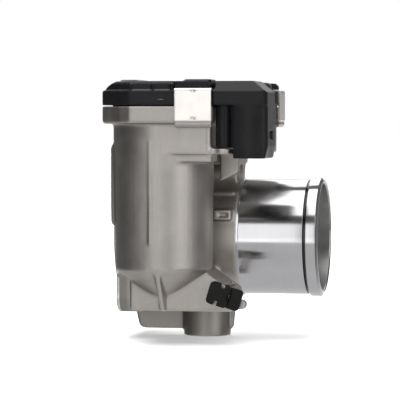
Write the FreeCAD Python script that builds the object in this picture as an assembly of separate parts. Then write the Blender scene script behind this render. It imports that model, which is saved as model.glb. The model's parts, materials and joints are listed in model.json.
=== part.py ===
import FreeCAD, Part
import math
import os
from FreeCAD import Vector

# Electronic throttle body, in millimetres.
# Origin: centre of the manifold flange face, on the bore axis.
# +X runs along the bore to the hose spigot, +Z runs up the throttle shaft to the gear cover.

# ---- driving dimensions ----------------------------------------------------------------------
# bore and hose spigot
BORE_R = 26.0
SPIGOT_R = 30.0
CAST_R = 31.0
CAST_END_X = 63.0
MOUTH_X = 105.0
BEAD_R = 31.0
BEAD_LENGTH = 5.2
BEAD_GROOVE = 1.3
MOUTH_R = 28.2

# manifold flange
FLANGE_T = 8.0
BOLT_Y = 20.0
BOLT_Z = 31.0
BOLT_HOLE_R = 3.25
LOBE_R = 8.0
LOBE_BOSS_X = 13.0
TOOL_R = 7.0
GASKET_R = 30.5
GASKET_W = 2.4
GASKET_DEPTH = 2.0

# axes of the three turning bodies, seen from above
SHAFT_X = 43.0
SHAFT_Y = 0.0
MOTOR_X = 30.0
MOTOR_Y = -51.5

# gear train
FINE_MODULE = 0.8
COARSE_MODULE = 1.1
PINION_TEETH = 12
WHEEL_TEETH = 50
IDLER_TEETH = 12
SECTOR_TEETH = 44
PRESSURE_ANGLE = math.radians(25.0)
ADDENDUM = 0.9
DEDENDUM = 1.25
TOOTH_THINNING = 0.14
SECTOR_Z = (57.5, 64.5)
IDLER_PINION_Z = (57.0, 65.3)
WHEEL_Z = (65.3, 69.8)
MOTOR_PINION_Z = (64.8, 70.3)
FINE_CENTRES = FINE_MODULE * (PINION_TEETH + WHEEL_TEETH) / 2
COARSE_CENTRES = COARSE_MODULE * (IDLER_TEETH + SECTOR_TEETH) / 2

# throttle shaft and plate; the plate rests a little open, as a spring holds it with the power off
SHAFT_R = 5.0
SHAFT_BOTTOM = -47.0
SHAFT_TOP = 69.0
PLATE_R = 25.6
PLATE_T = 2.2
REST_OPEN = 8.0
TRAVEL_OPEN = 80.0
RUNNING_GAP = 0.04
IDLER_POST_R = 5.0

# torsion spring: where its two legs point
SPRING_START = 20.0
SPRING_END = 165.0

# housing heights
FLOOR_Z = 47.5
BOWL_UNDER_Z = 44.0
RIM_UNDER_Z = 59.0
RIM_Z = 67.7
COVER_Z = 68.3
COVER_STEP_Z = 75.7
COVER_TOP_Z = 80.2
CEILING_Z = 77.6
BOSS_BOTTOM_Z = -52.2
KEEL_Z = -49.0
BASE_Z = -35.3
BOWL_WALL = 2.8
RIM_BEVEL = 0.9
LIP_GAP = 0.15
RIB_X = (18.6, 29.8, 39.4)
LIP_T = 1.4

# motor and its housing
MOTOR_HOUSING_R = 25.4
MOTOR_HOUSING_LOW_R = 24.6
CONE_TOP_Z = -14.0
CONE_SLOPE = 1.3
CONE_TIP_R = 1.0
POCKET_R = 21.5
POCKET_Z = -12.0
CAN_R = 21.0
CAN_WALL = 1.4
CAN_BOTTOM_Z = -10.0
ROTOR_R = 15.6
POLES = 8
COMMUTATOR_R = 6.0
MOTOR_SHAFT_R = 2.0
MOTOR_EAR_R = 25.5
MOTOR_EAR_ANGLES = (-43.0, 109.0)

# plan outlines: corners as X, Y, corner radius, anticlockwise from the front left
BOWL_CORNERS = [
    (30.0, -76.5, 0.0), (58.8, -76.5, 3.0), (58.8, -63.0, 5.0), (77.5, -14.5, 5.0), (77.5, 17.0, 7.0),
    (64.5, 31.5, 10.0), (23.5, 31.5, 13.0), (10.5, 11.0, 8.0), (10.5, -26.0, 6.0), (5.5, -46.0, 0.0),
    (30.0, -60.0, 0.0),
]
RIM_CORNERS = [
    (18.0, -79.5, 0.8), (60.0, -79.5, 2.0), (60.0, -64.0, 6.0), (80.5, -16.0, 6.0), (80.5, 18.0, 8.0),
    (66.0, 34.5, 12.0), (22.0, 34.5, 16.0), (7.5, 12.0, 10.0), (7.5, -24.0, 10.0), (0.7, -41.0, 8.0),
    (0.7, -64.0, 6.0), (12.4, -76.6, 0.8),
]

# cover clips: centre of the clip on the rim, and the outward direction in degrees
CLIP_W = 18.5
CLIP_T = 0.8
CLIPS = [(50.4, -79.5, -90.0), (80.5, 1.0, 0.0), (44.0, 34.5, 90.0), (7.5, -5.0, 180.0)]

# connector
SOCKET_X = (69.7, 86.8)
SOCKET_Y = (-79.5, -50.0)
SOCKET_Z = 42.0
SOCKET_ROOF_Z = 62.0
SOCKET_WALL = 2.2
COLUMN_X = 64.2
COLUMN_Y = -72.0
COLUMN_R = 3.9
COLUMN_Z = 47.2
TERMINAL_PITCH = 3.6


# ---- helpers ---------------------------------------------------------------------------------
def box(x0, x1, y0, y1, z0, z1):
    return Part.makeBox(x1 - x0, y1 - y0, z1 - z0, Vector(x0, y0, z0))


def post(x, y, radius, z0, z1):
    """A round post along Z."""
    return Part.makeCylinder(radius, z1 - z0, Vector(x, y, z0))


def bar(radius, x0, x1, y=0.0, z=0.0):
    """A round bar along X."""
    return Part.makeCylinder(radius, x1 - x0, Vector(x0, y, z), Vector(1, 0, 0))


def tube(x, y, inner, outer, z0, z1):
    """A ring along Z."""
    return post(x, y, outer, z0, z1).cut(post(x, y, inner, z0 - 1, z1 + 1))


def fuse(shapes):
    result = shapes[0].fuse(shapes[1:])
    return result.removeSplitter()


def rounded_wire(corners, place):
    """A closed outline of straight sides with tangent arcs; place turns (u, v) into a point."""
    ends = []
    edges = []
    count = len(corners)
    for i, (u, v, radius) in enumerate(corners):
        here = Vector(u, v, 0)
        before = (Vector(*corners[i - 1][:2], 0) - here).normalize()
        after = (Vector(*corners[(i + 1) % count][:2], 0) - here).normalize()
        half = before.getAngle(after) / 2
        reach = radius / math.tan(half)
        middle = here + (before + after).normalize() * (radius / math.sin(half) - radius)
        ends.append((here + before * reach, middle, here + after * reach))
    for i, (start, middle, end) in enumerate(ends):
        if corners[i][2] > 0:
            edges.append(Part.Arc(place(start), place(middle), place(end)).toShape())
        following = ends[(i + 1) % count][0]
        if end.distanceToPoint(following) > 1e-6:
            edges.append(Part.makeLine(place(end), place(following)))
    return Part.Wire(edges)


def plan(corners, z0, z1):
    """A plan outline of X, Y, radius corners, raised from z0 to z1."""
    face = Part.Face(rounded_wire(corners, lambda p: Vector(p.x, p.y, z0)))
    return face.extrude(Vector(0, 0, z1 - z0))


def bevel_band(corners, z0, inset0, z1, inset1):
    """A thin layer of a plan outline whose edge slopes from one inset to another."""
    rings = []
    for z, inset in ((z0, inset0), (z1, inset1)):
        face = Part.Face(rounded_wire(corners, lambda p: Vector(p.x, p.y, z)))
        rings.append(face.makeOffset2D(-inset).OuterWire if inset else face.OuterWire)
    return Part.makeLoft(rings, True, True)


def front(corners, y0, y1):
    """A front outline of X, Z, radius corners, carried back from y0 to y1."""
    face = Part.Face(rounded_wire(corners, lambda p: Vector(p.x, y0, p.y)))
    return face.extrude(Vector(0, y1 - y0, 0))


def side(corners, x0, x1):
    """A side outline of Y, Z, radius corners, carried along X from x0 to x1."""
    face = Part.Face(rounded_wire(corners, lambda p: Vector(x0, p.x, p.y)))
    return face.extrude(Vector(x1 - x0, 0, 0))


def rectangle(u0, u1, v0, v1, radius):
    return [(u0, v0, radius), (u1, v0, radius), (u1, v1, radius), (u0, v1, radius)]


def lathe(corners, base, axis, out):
    """A solid of revolution from (along, radius, 0) corners, about the axis through base."""
    wire = rounded_wire(corners, lambda p: base + axis * p.x + out * p.y)
    return Part.Face(wire).revolve(base, axis, 360)


def turned(shape, x, y, degrees):
    """A copy turned about the vertical line through x, y."""
    copy = shape.copy()
    copy.rotate(Vector(x, y, 0), Vector(0, 0, 1), degrees)
    return copy


def on_shaft(shape):
    """Turn a piece drawn with the plate shut to where it rests."""
    return turned(shape, SHAFT_X, SHAFT_Y, REST_OPEN)


def polar(x, y, radius, degrees, z=0.0):
    angle = math.radians(degrees)
    return Vector(x + radius * math.cos(angle), y + radius * math.sin(angle), z)


def idler_centre():
    """The third corner of the triangle whose sides are the two gear centre distances."""
    motor = Vector(MOTOR_X, MOTOR_Y, 0)
    shaft = Vector(SHAFT_X, SHAFT_Y, 0)
    span = motor.distanceToPoint(shaft)
    along = (FINE_CENTRES ** 2 - COARSE_CENTRES ** 2 + span ** 2) / (2 * span)
    aside = math.sqrt(FINE_CENTRES ** 2 - along ** 2)
    direction = (shaft - motor).normalize()
    return motor + direction * along + Vector(direction.y, -direction.x, 0) * aside


IDLER = idler_centre()


def bearing_angle(x0, y0, x1, y1):
    return math.degrees(math.atan2(y1 - y0, x1 - x0))


# ---- gears -----------------------------------------------------------------------------------
def involute(angle):
    return math.tan(angle) - angle


def tooth_half_angle(module, teeth, radius):
    pitch = module * teeth / 2
    base = pitch * math.cos(PRESSURE_ANGLE)
    width = math.pi * module / 2 - TOOTH_THINNING
    local = math.acos(min(1.0, base / radius))
    return width / (2 * pitch) + involute(PRESSURE_ANGLE) - involute(local)


def tooth_edges(module, teeth, x, y, middle, next_middle, z):
    """One tooth about the angle middle, and the root arc on to the next tooth."""
    pitch = module * teeth / 2
    base = pitch * math.cos(PRESSURE_ANGLE)
    root = pitch - DEDENDUM * module
    tip = pitch + ADDENDUM * module
    low = max(base, root) + 1e-4

    def at(radius, sign):
        half = math.degrees(tooth_half_angle(module, teeth, max(radius, low)))
        return polar(x, y, radius, middle + sign * half, z)

    up = Part.Arc(at(low, -1), at((low + tip) / 2, -1), at(tip, -1)).toShape()
    top = Part.Arc(at(tip, -1), polar(x, y, tip, middle, z), at(tip, 1)).toShape()
    down = Part.Arc(at(tip, 1), at((low + tip) / 2, 1), at(low, 1)).toShape()
    edges = [up, top, down]
    root_half = math.degrees(tooth_half_angle(module, teeth, low))
    if low - root > 1e-3:
        edges.insert(0, Part.makeLine(at(root, -1), at(low, -1)))
        edges.append(Part.makeLine(at(low, 1), at(root, 1)))
    start = polar(x, y, root if low - root > 1e-3 else low, middle + root_half, z)
    between = polar(x, y, root, (middle + next_middle) / 2, z)
    end = polar(x, y, root if low - root > 1e-3 else low, next_middle - root_half, z)
    edges.append(Part.Arc(start, between, end).toShape())
    return edges


def gear(module, teeth, x, y, phase, z0, z1):
    """A whole toothed wheel with one tooth at the angle phase, in degrees."""
    step = 360.0 / teeth
    edges = []
    for i in range(teeth):
        middle = phase + i * step
        edges += tooth_edges(module, teeth, x, y, middle, middle + step, z0)
    wire = Part.Wire(Part.__sortEdges__(edges))
    return Part.Face(wire).extrude(Vector(0, 0, z1 - z0))


def wedge(x, y, radius, start, end, z0, z1):
    """A pie slice between two angles, in degrees."""
    centre = Vector(x, y, z0)
    rim = Part.Arc(polar(x, y, radius, start, z0), polar(x, y, radius, (start + end) / 2, z0),
                   polar(x, y, radius, end, z0)).toShape()
    sides = [Part.makeLine(centre, polar(x, y, radius, start, z0)), rim,
             Part.makeLine(polar(x, y, radius, end, z0), centre)]
    return Part.Face(Part.Wire(sides)).extrude(Vector(0, 0, z1 - z0))


# ---- housing ---------------------------------------------------------------------------------
def bowl_face(z):
    """The bowl's outer outline: the motor cylinder joined to the gear chamber."""
    chamber = Part.Face(rounded_wire(BOWL_CORNERS, lambda p: Vector(p.x, p.y, z)))
    circle = Part.Face(Part.Wire(Part.makeCircle(MOTOR_HOUSING_R, Vector(MOTOR_X, MOTOR_Y, z))))
    return chamber.fuse(circle).removeSplitter().Faces[0]


def bowl_cavity(z0, z1, inset):
    face = bowl_face(z0).makeOffset2D(-inset)
    return face.extrude(Vector(0, 0, z1 - z0))


def bore_casting():
    tube_body = bar(CAST_R, 0, CAST_END_X)
    step = lathe([(CAST_END_X, 0, 0), (CAST_END_X + 1.0, 0, 0), (CAST_END_X + 1.0, SPIGOT_R, 0),
                  (CAST_END_X, CAST_R, 0)], Vector(0, 0, 0), Vector(1, 0, 0), Vector(0, 0, 1))
    return [tube_body, step]


def spigot():
    """The machined hose seat, with a run-out groove and a flat-topped bead at its mouth."""
    bead_start = MOUTH_X - 1.0 - BEAD_LENGTH
    groove = bead_start - BEAD_GROOVE
    corners = [(CAST_END_X - 1, 0, 0), (MOUTH_X, 0, 0), (MOUTH_X, BEAD_R - 1.6, 0.5),
               (MOUTH_X - 1.0, BEAD_R, 0.3), (bead_start, BEAD_R, 0.3),
               (bead_start - 0.3, SPIGOT_R - 0.5, 0), (groove, SPIGOT_R - 0.5, 0),
               (groove - 0.3, SPIGOT_R, 0), (CAST_END_X - 1, SPIGOT_R, 0)]
    return lathe(corners, Vector(0, 0, 0), Vector(1, 0, 0), Vector(0, 0, 1))


def bore_cut():
    flare = MOUTH_X - 3.4
    corners = [(-1, 0, 0), (MOUTH_X + 1, 0, 0), (MOUTH_X + 1, MOUTH_R + 0.6, 0),
               (MOUTH_X - 0.4, MOUTH_R, 0), (flare, BORE_R, 3.0), (-1, BORE_R, 0)]
    return lathe(corners, Vector(0, 0, 0), Vector(1, 0, 0), Vector(0, 0, 1))


def bolt_places():
    return [(y, z) for y in (-BOLT_Y, BOLT_Y) for z in (-BOLT_Z, BOLT_Z)]


def manifold_flange():
    half_y = BOLT_Y + LOBE_R
    half_z = BOLT_Z + LOBE_R
    plate = side(rectangle(-half_y, half_y, -half_z, half_z, LOBE_R), 0, FLANGE_T)
    rim = bar(GASKET_R + 3.5, 0, FLANGE_T)
    bosses = [bar(LOBE_R, 0, LOBE_BOSS_X, y, z) for y, z in bolt_places()]
    return [plate, rim] + bosses


def flange_cuts():
    holes = [bar(BOLT_HOLE_R, -1, LOBE_BOSS_X + 1, y, z) for y, z in bolt_places()]
    access = [bar(TOOL_R, LOBE_BOSS_X, 75, y, z) for y, z in bolt_places()]
    groove = bar(GASKET_R, -1, GASKET_DEPTH).cut(bar(GASKET_R - GASKET_W, -2, GASKET_DEPTH + 1))
    return holes + access + [groove]


def motor_housing():
    """The motor cylinder with draft, and the cone that closes it below."""
    height = BOWL_UNDER_Z + 3 - CONE_TOP_Z
    foot = Vector(MOTOR_X, MOTOR_Y, CONE_TOP_Z)
    barrel = Part.makeCone(MOTOR_HOUSING_LOW_R, MOTOR_HOUSING_R, height, foot)
    depth = (MOTOR_HOUSING_LOW_R - CONE_TIP_R) / CONE_SLOPE
    cone = Part.makeCone(CONE_TIP_R, MOTOR_HOUSING_LOW_R, depth, foot - Vector(0, 0, depth))
    return [barrel, cone]


def label_pad():
    """A flat raised panel on the left of the motor cylinder."""
    slab = side(rectangle(MOTOR_Y - 9, MOTOR_Y + 9, 8, 48.5, 2.5), MOTOR_X - MOTOR_HOUSING_R - 0.2, MOTOR_X)
    return slab


def mould_ridge():
    """The parting ridge down the front of the motor cylinder."""
    place = polar(MOTOR_X, MOTOR_Y, MOTOR_HOUSING_R - 0.6, -95)
    return box(place.x - 0.5, place.x + 0.5, place.y - 0.9, place.y + 3, -1, 50)


def gear_bowl():
    body = bowl_face(BOWL_UNDER_Z).extrude(Vector(0, 0, RIM_Z - BOWL_UNDER_Z))
    rim = plan(RIM_CORNERS, RIM_UNDER_Z + RIM_BEVEL, RIM_Z)
    rim_edge = bevel_band(RIM_CORNERS, RIM_UNDER_Z, RIM_BEVEL, RIM_UNDER_Z + RIM_BEVEL, 0)
    corners = [(36, -74.6, 4), (58.8, -74.6, 2), (58.8, -58, 2), (36, -58, 2)]
    step = plan(corners, BOWL_UNDER_Z - 3.8, BOWL_UNDER_Z)
    ledge = post(COLUMN_X, COLUMN_Y, COLUMN_R + 0.8, BOWL_UNDER_Z, COLUMN_Z - 0.3)
    tie = box(52, COLUMN_X, COLUMN_Y - 3.5, COLUMN_Y + 6, BOWL_UNDER_Z, COLUMN_Z - 0.3)
    return [body, rim, rim_edge, step, ledge, tie]


def bearing_block():
    """The block over the bore that carries the upper bearing."""
    shape = side([(-22, 20, 0), (22, 20, 0), (22, BOWL_UNDER_Z, 0), (-22, BOWL_UNDER_Z, 0)], 24, 61)
    plate = front([(55, 29.4, 0), (64.5, 33.8, 1), (64.5, BOWL_UNDER_Z, 0), (55, BOWL_UNDER_Z, 0)], -31, -12)
    return [shape, plate]


def lower_boss():
    return [post(SHAFT_X, SHAFT_Y, 12.3, BOSS_BOTTOM_Z, -24)]


def keel():
    half = 2.0
    blade = front([(7, KEEL_Z, 3.5), (SHAFT_X, KEEL_Z, 0), (SHAFT_X, -20, 0), (4, -20, 0), (4, -36, 2)],
                  -half, half)
    tail = front([(SHAFT_X, KEEL_Z, 0), (57, KEEL_Z, 2.5), (59, -28, 0), (SHAFT_X, -28, 0)], -half, half)
    return [blade, tail]


def base_wall():
    """The ribbed box under the motor cone, open below, that ties the cone to the bore."""
    left = 13.4
    right = 66.2
    top_z = -14.8
    face_y = -57.5
    foot = [(left, BASE_Z, 1.5), (right, BASE_Z, 1.5)]
    outline = foot + [(right, -24.5, 2), (51.6, top_z, 0), (left, top_z, 0)]
    block = front(outline, face_y, -27.5)
    ribs = 4
    wall = 2.8
    width = (right - left - wall * (ribs + 2)) / (ribs + 1)
    for i in range(ribs + 1):
        start = left + wall + i * (width + wall)
        block = block.cut(box(start, start + width, face_y + wall, -31, BASE_Z - 1, -22))
    return [block]


def front_details():
    """The gusset fin under the cone, the clip's lug and the small cast lugs."""
    fin = side([(-76.0, -12, 0), (-74.5, -16, 0), (-60.5, BASE_Z, 0), (-55, BASE_Z, 0), (-55, -12, 0)],
               29.7, 32.3)
    tab = front([(62, -34.0, 2.4), (73.0, -34.0, 2.4), (73.0, -29.0, 2.4), (62, -29.0, 2.4)], -57.5, -52)
    lug = box(52, 61, -33, -24, 9.6, 15.0).cut(box(54, 59.6, -34, -32.2, 11.0, 13.6))
    wedge_lug = front([(52.0, -21.0, 0), (57.0, -21.0, 0), (52.3, -15.0, 0)], -33, -26)
    return [fin, tab, lug, wedge_lug]


def idler_post():
    return post(IDLER.x, IDLER.y, IDLER_POST_R, FLOOR_Z, 56.4)


def stop_block():
    """The boss in the bowl that holds the closed-position stop screw."""
    return box(12.5, 24.5, 7.0, 14.0, FLOOR_Z - 1, 65.0)


def open_stop():
    """The cast lug on the bowl wall that the sector meets when the plate is wide open."""
    return box(64.0, 76.0, 7.0, 12.0, FLOOR_Z - 1, 64.5)


def ear_places():
    return [polar(MOTOR_X, MOTOR_Y, MOTOR_EAR_R, angle) for angle in MOTOR_EAR_ANGLES]


def shaft_bores():
    """All that is bored on the throttle shaft's line: bearings, seals and the plug."""
    x, y = SHAFT_X, SHAFT_Y
    return [post(x, y, SHAFT_R + 0.3, -50, FLOOR_Z + 4), post(x, y, 10.4, BOSS_BOTTOM_Z - 1, -46.0),
            post(x, y, 9.5, -46.1, -41.0), post(x, y, 8.0, -35.5, -32.5), post(x, y, 8.0, 31.0, 34.0),
            post(x, y, 7.0, 36.0, 46.0)]


def rim_groove():
    return bowl_cavity(RIM_Z - 1.5, RIM_Z + 1, -0.4).cut(bowl_cavity(RIM_Z - 2, RIM_Z + 2, 1.2))


def make_housing():
    solids = bore_casting() + manifold_flange() + motor_housing() + gear_bowl() + bearing_block()
    solids += lower_boss() + keel() + base_wall() + front_details() + [label_pad(), mould_ridge()]
    body = fuse(solids)
    hollow = [bowl_cavity(FLOOR_Z, RIM_Z + 1, BOWL_WALL),
              post(MOTOR_X, MOTOR_Y, POCKET_R, POCKET_Z, FLOOR_Z + 1),
              post(MOTOR_X, MOTOR_Y, 8.0, POCKET_Z - 5, POCKET_Z + 1)]
    body = body.cut(hollow)
    sleeve_seat = post(SHAFT_X, SHAFT_Y, 8.6, FLOOR_Z - 1, FLOOR_Z + 2.5)
    inner = [idler_post(), stop_block(), open_stop(), sleeve_seat]
    body = fuse([body, spigot()] + inner)
    cuts = [bore_cut()] + flange_cuts() + shaft_bores() + [rim_groove()]
    cuts += [post(p.x, p.y, 1.6, FLOOR_Z - 3, FLOOR_Z + 1) for p in ear_places()]
    cuts += [post(IDLER.x, IDLER.y, 2.5, FLOOR_Z - 3, 60), stop_screw_hole()]
    return body.cut(cuts)


# ---- cover -----------------------------------------------------------------------------------
def clip_frame(shape, clip):
    """Move a piece drawn for a clip at the origin that faces +X to a clip's own place."""
    x, y, direction = clip
    copy = shape.copy()
    copy.rotate(Vector(0, 0, 0), Vector(0, 0, 1), direction)
    copy.translate(Vector(x, y, 0))
    return copy


def cover_shell():
    setback = 1.8
    bevel = 1.5
    lower = plan(RIM_CORNERS, COVER_Z, COVER_STEP_Z - 0.6)
    shoulder = bevel_band(RIM_CORNERS, COVER_STEP_Z - 0.6, 0, COVER_STEP_Z, 0.6)
    upper = bevel_band(RIM_CORNERS, COVER_STEP_Z, setback, COVER_TOP_Z - bevel, setback)
    top = bevel_band(RIM_CORNERS, COVER_TOP_Z - bevel, setback, COVER_TOP_Z, setback + bevel)
    return [lower, shoulder, upper, top]


def left_slope_cut():
    """Takes the cover's left end down in a broad slope."""
    return front([(-3, 72.6, 0), (-3, 83, 0), (9.1, 83, 0), (9.1, COVER_TOP_Z, 0), (5.9, 78.8, 0),
                  (3.8, 77.5, 0), (0.4, 74.6, 0), (-1.0, 72.6, 0)], -90, -25)


def connector_block():
    """The head of the connector, level with the cover, bevelled along its front and right."""
    x0, x1 = 59.9, SOCKET_X[1]
    y0, y1 = SOCKET_Y
    head = plan([(x0, y0, 0), (x1 - 2, y0, 1.0), (x1, y0 + 2.5, 1.0), (x1, y1, 3), (x0, y1 + 6, 0)],
                COVER_Z, COVER_TOP_Z)
    slope = [(y0 - 1, COVER_TOP_Z - 6.3, 0), (y0 + 5.6, COVER_TOP_Z + 0.3, 0), (y0 - 1, COVER_TOP_Z + 1, 0)]
    bevel = side(slope, x0 - 1, x1 + 1)
    right = front([(x1 + 1, COVER_TOP_Z - 6.5, 0), (x1 + 1, COVER_TOP_Z + 1, 0),
                   (x1 - 7.6, COVER_TOP_Z + 0.2, 0)], y0 - 1, y1 + 12)
    return head.cut([bevel, right])


def connector_shroud():
    """The socket that opens downwards, bowed at its front and faceted at its right."""
    x0, x1 = SOCKET_X
    y0, y1 = SOCKET_Y
    z = SOCKET_Z
    shoulder = Vector(x1 - 1.0, y0 + 1.9, z)
    start = Vector(x0, y0 + 1.8, z)
    bow = Part.Arc(start, Vector((x0 + x1) / 2, y0, z), shoulder).toShape()
    corners = [shoulder, Vector(x1, y0 + 4, z), Vector(x1, y1, z), Vector(x0, y1, z), start]
    sides = [Part.makeLine(corners[i], corners[i + 1]) for i in range(4)]
    outer = Part.Face(Part.Wire([bow] + sides)).extrude(Vector(0, 0, COVER_Z + 1 - z))
    foot = front([(x1 - 1.4, z - 1, 0), (x1 + 1, z - 1, 0), (x1 + 1, z + 6, 0), (x1, z + 6, 0)], y0, y1 + 1)
    wall = SOCKET_WALL
    mouth = rectangle(x0 + wall, x1 - wall, y0 + wall + 2.2, y1 - wall, 2.0)
    socket = plan(mouth, z - 1, SOCKET_ROOF_Z)
    notch = box(x1 - 1.6, x1 + 1, y0 + 10, y0 + 20, 51.5, 55.5)
    return outer.cut([foot, socket, notch])


def cover_ribs():
    """Raised pads and ribs on top of the cover."""
    pads = [plan(rectangle(11, 20, -68, -40, 2), COVER_TOP_Z - 1, COVER_TOP_Z + 0.8),
            plan(rectangle(44.5, 58, -74, -58, 2), COVER_TOP_Z - 1, COVER_TOP_Z + 0.9),
            post(SHAFT_X, SHAFT_Y, 17, COVER_TOP_Z - 1, COVER_TOP_Z + 0.8)]
    ribs = [box(x - 0.5, x + 0.5, -79.0, -70, COVER_STEP_Z - 0.5, COVER_TOP_Z - 1.2) for x in RIB_X]
    return pads + ribs


def clip_recess():
    """The notch above a clip that its upper hook lies in."""
    half = CLIP_W / 2 + 0.9
    return box(-4.6, 3, -half, half, COVER_STEP_Z, COVER_TOP_Z + 3)


def make_cover():
    column = post(COLUMN_X, COLUMN_Y, COLUMN_R, COLUMN_Z, COVER_Z + 1)
    web = box(COLUMN_X, SOCKET_X[0] + 1, COLUMN_Y - 1, COLUMN_Y + 1, COLUMN_Z, COVER_Z + 1)
    inner_inset = BOWL_WALL + LIP_GAP + LIP_T
    lip = bowl_cavity(COVER_Z - 3.0, COVER_Z + 1, BOWL_WALL + LIP_GAP)
    lip = lip.cut(bowl_cavity(COVER_Z - 4, COVER_Z + 2, inner_inset))
    body = fuse(cover_shell() + [connector_block(), connector_shroud(), column, web, lip] + cover_ribs())
    cavity = bowl_cavity(COVER_Z - 1, CEILING_Z, inner_inset)
    wheel_tip = FINE_MODULE * (WHEEL_TEETH / 2 + ADDENDUM)
    wheel_room = post(IDLER.x, IDLER.y, wheel_tip + 0.6, COVER_Z - 4, WHEEL_Z[1] + 1.0)
    recesses = [clip_frame(clip_recess(), clip) for clip in CLIPS]
    body = body.cut([cavity, wheel_room, left_slope_cut()] + recesses)
    socket = tube(IDLER.x, IDLER.y, 2.5 + RUNNING_GAP, 4.6, 71.5, CEILING_Z + 0.2)
    board_posts = [post(x, y, 1.8, 75.2, CEILING_Z + 0.2) for x, y in board_holes()]
    body = fuse([body, socket] + board_posts)
    tunnels = [terminal_tunnel(i) for i in range(6)]
    return body.cut(tunnels)


# ---- fixed pieces ----------------------------------------------------------------------------
def make_cover_gasket():
    ring = bowl_cavity(RIM_Z - 1.5, COVER_Z, -0.3)
    return ring.cut(bowl_cavity(RIM_Z - 2, COVER_Z + 1, 1.1))


def make_cover_clips():
    """Spring steel clips that hook over the cover's step and under the rim."""
    top = COVER_STEP_Z + 0.05
    low = RIM_UNDER_Z - 0.05
    corners = [(-3.6, top, 0), (1.0, top, 0), (1.4, top - 0.4, 0), (1.4, low + 1.6, 0), (0.3, low, 0),
               (-2.4, low, 0), (-2.4, low - CLIP_T, 0), (0.2, low - 1.8, 0), (1.3, low - 1.2, 0),
               (2.2, low + 1.3, 0), (2.2, top, 0), (1.4, top + CLIP_T, 0), (-3.6, top + CLIP_T, 0)]
    wire = rounded_wire(corners, lambda p: Vector(p.x, -CLIP_W / 2, p.y))
    strip = Part.Face(wire).extrude(Vector(0, CLIP_W, 0))
    return Part.makeCompound([clip_frame(strip, clip) for clip in CLIPS])


def terminal_place(i):
    """Two rows of three terminals in the socket."""
    x = sum(SOCKET_X) / 2 + (-2.6 if i % 2 else 2.6)
    y = -63.7 + (i // 2 - 1) * 2 * TERMINAL_PITCH
    return x, y


def terminal_tunnel(i):
    x, y = terminal_place(i)
    return box(x - 0.4, x + 0.4, y - 1.1, y + 1.1, SOCKET_ROOF_Z - 1, 73.0)


def make_connector_terminals():
    pins = []
    for i in range(6):
        x, y = terminal_place(i)
        pin = box(x - 0.4, x + 0.4, y - 1.1, y + 1.1, 48.0, 73.0)
        pins.append(pin.makeChamfer(0.3, [e for e in pin.Edges if e.BoundBox.ZMax < 48.01]))
    return Part.makeCompound(pins)


def board_holes():
    return [(SHAFT_X - 19, 14), (SHAFT_X + 19, 14), (SHAFT_X - 19, -12), (SHAFT_X + 22, -12)]


def make_sensor_board():
    outline = [(21, -16, 3), (69, -16, 3), (66, 20, 6), (21, 20, 6)]
    board = plan(outline, 73.6, 75.2)
    return board.cut(post(SHAFT_X, SHAFT_Y, 4, 73, 76))


def make_sensor_chip():
    body = box(52, 60, -5, 3, 72.4, 73.6)
    leads = [box(x, x + 0.5, y, y + 1.2, 73.2, 73.6) for x in (52.8, 54.8, 56.8, 58.8) for y in (-6.2, 3.0)]
    return fuse([body] + leads)


def motor_contact_places():
    return [(MOTOR_X - 9, MOTOR_Y - 13), (MOTOR_X + 9, MOTOR_Y - 13)]


def make_motor_contacts():
    """Sockets under the cover that take the motor's two blades."""
    parts = []
    for x, y in motor_contact_places():
        stem = post(x, y, 1.2, 63.0, CEILING_Z)
        cup = box(x - 2.2, x + 2.2, y - 1.4, y + 1.4, 56.0, 63.5)
        parts.append(fuse([stem, cup]).cut(box(x - 1.7, x + 1.7, y - 0.5, y + 0.5, 55, 62.5)))
    return Part.makeCompound(parts)


def make_motor_can():
    x, y = MOTOR_X, MOTOR_Y
    body = fuse([post(x, y, CAN_R, CAN_BOTTOM_Z, FLOOR_Z), post(x, y, 7.0, -15.0, CAN_BOTTOM_Z + 1)])
    return body.cut([post(x, y, CAN_R - CAN_WALL, CAN_BOTTOM_Z + 1.5, FLOOR_Z + 1),
                     post(x, y, 4.0, -13.5, 0)])


def make_motor_magnets():
    x, y = MOTOR_X, MOTOR_Y
    ring = tube(x, y, ROTOR_R + 0.7, CAN_R - CAN_WALL, -4, 30)
    halves = [ring.common(wedge(x, y, 30, start, start + 130, -5, 31)) for start in (25, 205)]
    return Part.makeCompound(halves)


def make_motor_end_cap():
    x, y = MOTOR_X, MOTOR_Y
    body = fuse([post(x, y, CAN_R - CAN_WALL, 42.5, FLOOR_Z), post(x, y, 7.0, 42.5, 52.0)])
    guides = [box(x + s * 9.5 - 4.0, x + s * 9.5 + 4.0, y - 4.0, y + 4.0, 32.0, 42.6) for s in (-1, 1)]
    body = fuse([body] + guides)
    slots = [box(x + s * 9.5 - 5, x + s * 9.5 + 5, y - 2.5, y + 2.5, 33.0, 41.0) for s in (-1, 1)]
    blades = [box(bx - 1.6, bx + 1.6, by - 0.4, by + 0.4, 41, 48) for bx, by in motor_contact_places()]
    return body.cut(slots + blades + [post(x, y, 4.0, 45.0, 53), post(x, y, 2.6, 42, 46),
                                      post(x, y, COMMUTATOR_R + 0.4, 31, 42.5)])


def make_motor_flange():
    x, y = MOTOR_X, MOTOR_Y
    solids = [post(x, y, 22.2, FLOOR_Z, FLOOR_Z + 2)]
    solids += [post(p.x, p.y, 3.6, FLOOR_Z, FLOOR_Z + 2) for p in ear_places()]
    cuts = [post(x, y, 7.05, FLOOR_Z - 1, FLOOR_Z + 3),
            post(IDLER.x, IDLER.y, IDLER_POST_R + 0.5, FLOOR_Z - 1, FLOOR_Z + 3)]
    cuts += [post(p.x, p.y, 1.7, FLOOR_Z - 1, FLOOR_Z + 3) for p in ear_places()]
    cuts += [box(bx - 2.2, bx + 2.2, by - 1, by + 1, FLOOR_Z - 1, FLOOR_Z + 3)
             for bx, by in motor_contact_places()]
    return fuse(solids).cut(cuts)


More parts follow.
